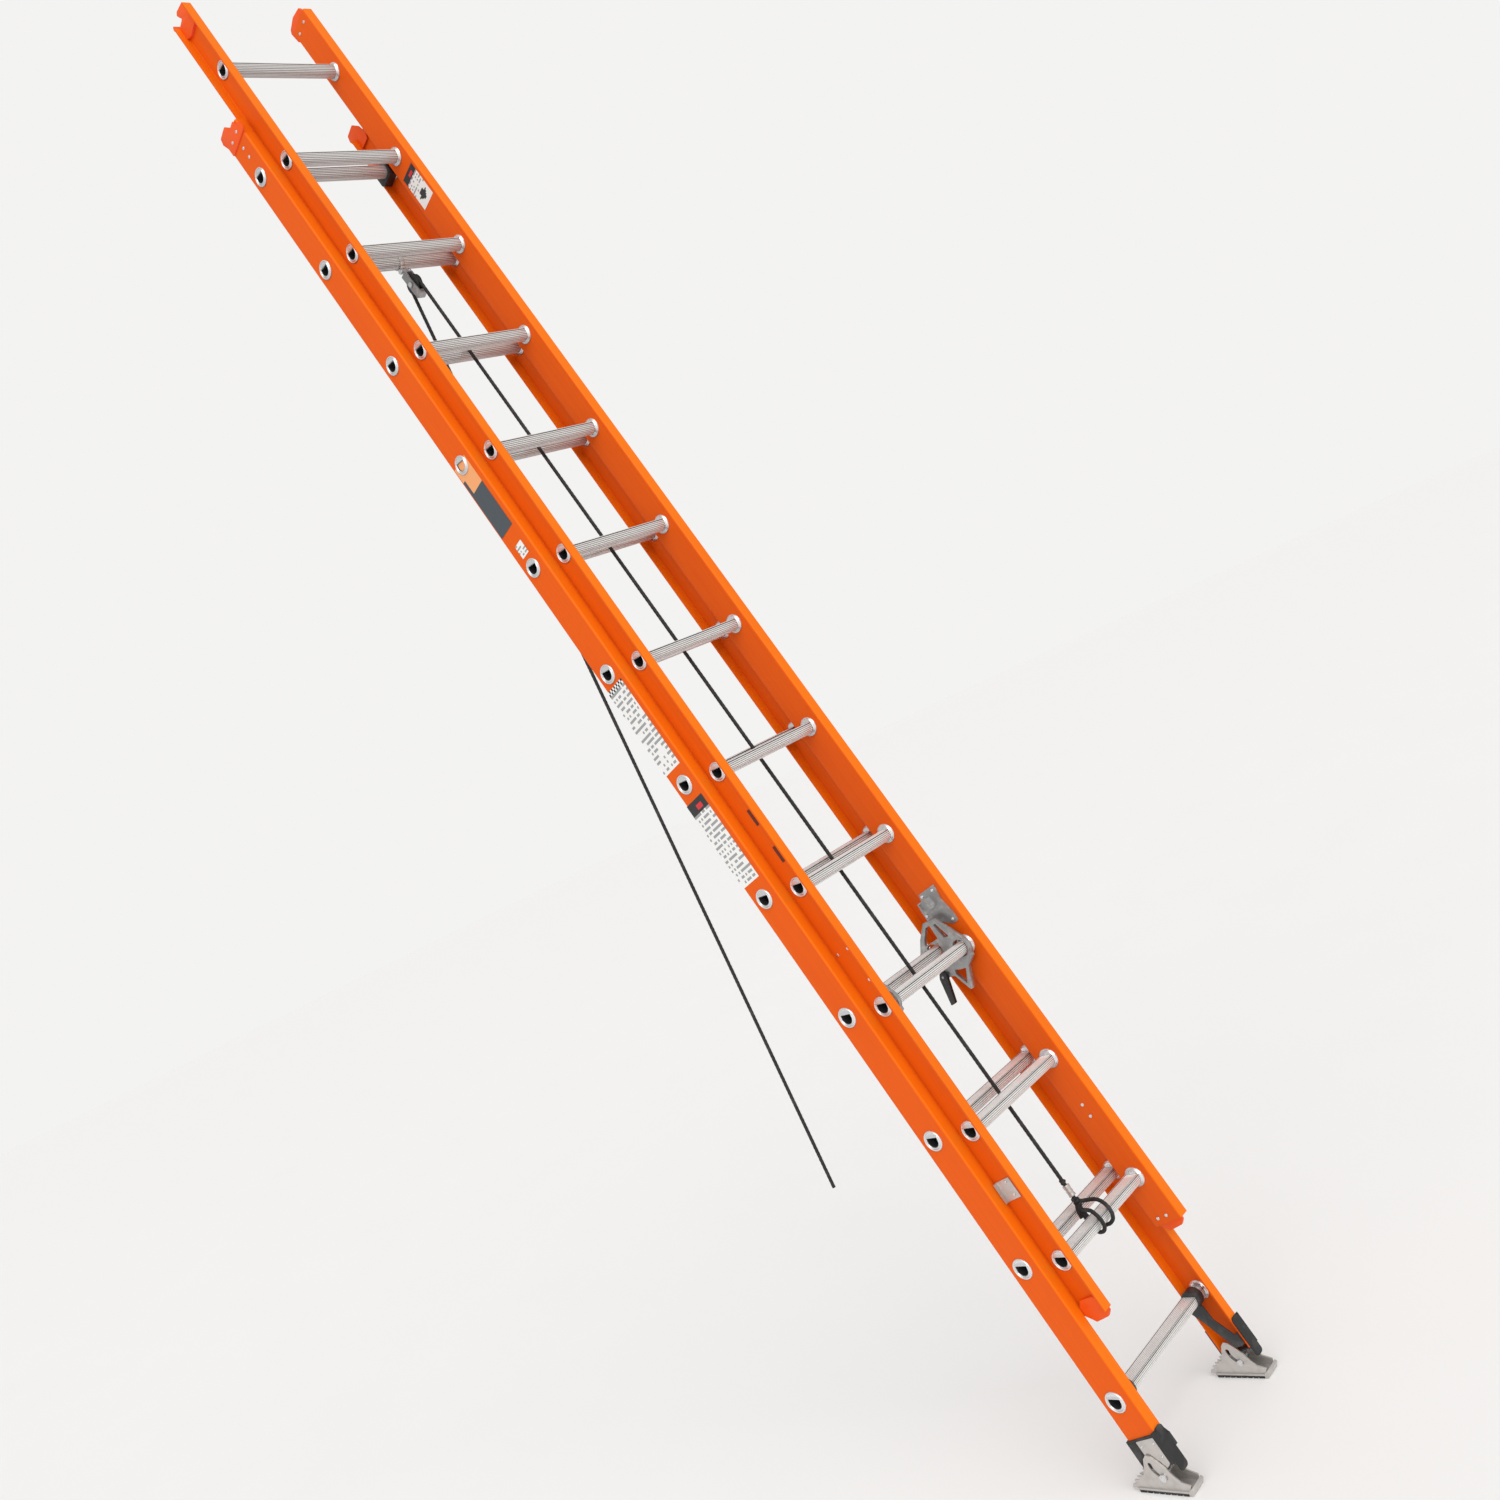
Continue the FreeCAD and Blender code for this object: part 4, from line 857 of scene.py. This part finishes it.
# %% Stickers
INKS = {
    ".": ("label_paper", (0.82, 0.82, 0.8), 0.42, 0.36, 0.5),
    "s": ("label_slate", (0.055, 0.07, 0.08), 0.45, 0.38, 0.52),
    "p": ("label_peach", (0.85, 0.36, 0.14), 0.45, 0.38, 0.52),
    "k": ("label_ink", (0.02, 0.02, 0.022), 0.45, 0.38, 0.52),
    "g": ("label_grey", (0.32, 0.32, 0.33), 0.45, 0.38, 0.52),
    "r": ("label_red", (0.62, 0.02, 0.03), 0.4, 0.34, 0.48),
    "b": ("label_brown", (0.10, 0.018, 0.006), 0.5, 0.42, 0.58),
}
INK_FLECK = (0.02, 0.02, 0.02)
PRINT = {}
for letter, (name, colour, gloss, low, high) in INKS.items():
    PRINT[letter] = Finish(name, colour, gloss)
    PRINT[letter].rough(PRINT[letter].noise(INK_FLECK), low, high)
STICKER = 0.0003
DASH_SHARE = 0.62


def sticker(name, x, outward, y, z, rows, body):
    """A printed sheet on a web: y and z are its edges, rows its cells from top to bottom."""
    columns = len(rows[0])
    bpy.ops.object.select_all(action="DESELECT")
    bpy.ops.mesh.primitive_grid_add(x_subdivisions=columns, y_subdivisions=len(rows), size=1.0)
    sheet = bpy.context.object
    sheet.name = name
    letters = sorted(set("".join(rows)))
    for letter in letters:
        sheet.data.materials.append(PRINT[letter].material)
    for face in sheet.data.polygons:
        column = min(int((face.center.x + 0.5) * columns), columns - 1)
        row = min(int((0.5 - face.center.y) * len(rows)), len(rows) - 1)
        face.material_index = letters.index(rows[row][column])
    wide, tall = y[1] - y[0], z[1] - z[0]
    turn = Matrix(((0, 0, outward), (-outward, 0, 0), (0, 1, 0))).to_4x4()
    centre = Matrix.Translation((x + outward * STICKER, sum(y) / 2, sum(z) / 2))
    sheet.matrix_world = centre @ turn @ Matrix.Diagonal((wide, tall, 1, 1))
    settle(sheet)
    apply_modifier(sheet, "SOLIDIFY", thickness=STICKER, offset=-1.0)
    settle(sheet, LEANING)
    seat(sheet, body, "rail_fibreglass")
    return sheet


def lines(columns, count, seed):
    """Rows of short grey dashes with blank rows between, as printed matter looks from afar."""
    draw = random.Random(seed)
    rows = []
    for _ in range(count):
        rows.append("".join("g" if draw.random() < DASH_SHARE else "." for _ in range(columns)))
        rows.append("." * columns)
    return rows


HEADER = ["k" * 12] * 2 + ["kkkrrrrkkkkk"] * 2 + ["k" * 12]
ARROW = ["....kkkk....", "....kkkk....", "..kkkkkkkk..", "...kkkkkk...", "....kkkk....", ".....kk....."]
STICKERS = [
    ("fly_inner_sticker", -1, FLY_OUTER - WEB, (-0.030, 0.027), (-0.183, -0.078),
     HEADER + lines(12, 5, 3) + ARROW + ["." * 12] * 3, "fly"),
    ("slate_sticker", -1, -BASE_OUTER, (0.047, 0.105), (-1.110, -0.905),
     ["pppppppppppp"] * 3 + ["ppppppppppss"] * 3 + ["ssssssssssss"] * 10, "base"),
    ("small_sticker", -1, -BASE_OUTER, (0.055, 0.085), (-1.185, -1.150), lines(8, 4, 5), "base"),
    ("white_sticker", -1, -BASE_OUTER, (0.046, 0.110), (-1.786, -1.553),
     ["k.k.k.k.k.k.", ".k.k.k.k.k.k"] + lines(12, 18, 7), "base"),
    ("header_sticker", -1, -BASE_OUTER, (0.046, 0.110), (-2.088, -1.868),
     HEADER + lines(12, 16, 9), "base"),
]
for name, outward, x, y, z, rows, body in STICKERS:
    sticker(name, x, outward, y, z, rows, body)
BAR_Y = (-0.012, -0.003)
BARS = ((-2.0, -1.96), (-2.096, -2.056))
for n, (low, high) in enumerate(BARS, 1):
    sticker(f"printed_bar_{n}", -FLY_OUTER, -1, BAR_Y, (low, high), ["bbbb"] * 6, "fly")
print("stickers", len(STICKERS) + len(BARS))

# %% [markdown]
# The floor is one wide pale disc, far larger than the ladder, with only a trace of texture. A curved
# backdrop could hide the horizon, but only from one side, so a plain disc is used.

# %% Floor
FLOOR_R = 40.0
floor_paint = Finish("studio_floor", (0.93, 0.93, 0.93), 0.75)
floor_paint.rough(floor_paint.noise((0.4, 0.4, 0.4)), 0.7, 0.85)
bpy.ops.object.select_all(action="DESELECT")
bpy.ops.mesh.primitive_circle_add(vertices=96, radius=FLOOR_R, fill_type="NGON", location=(0, 0, 0))
floor = bpy.context.object
floor.name = "studio_floor"
floor.data.materials.append(floor_paint.material)
print("floor is", 2 * FLOOR_R, "m across")
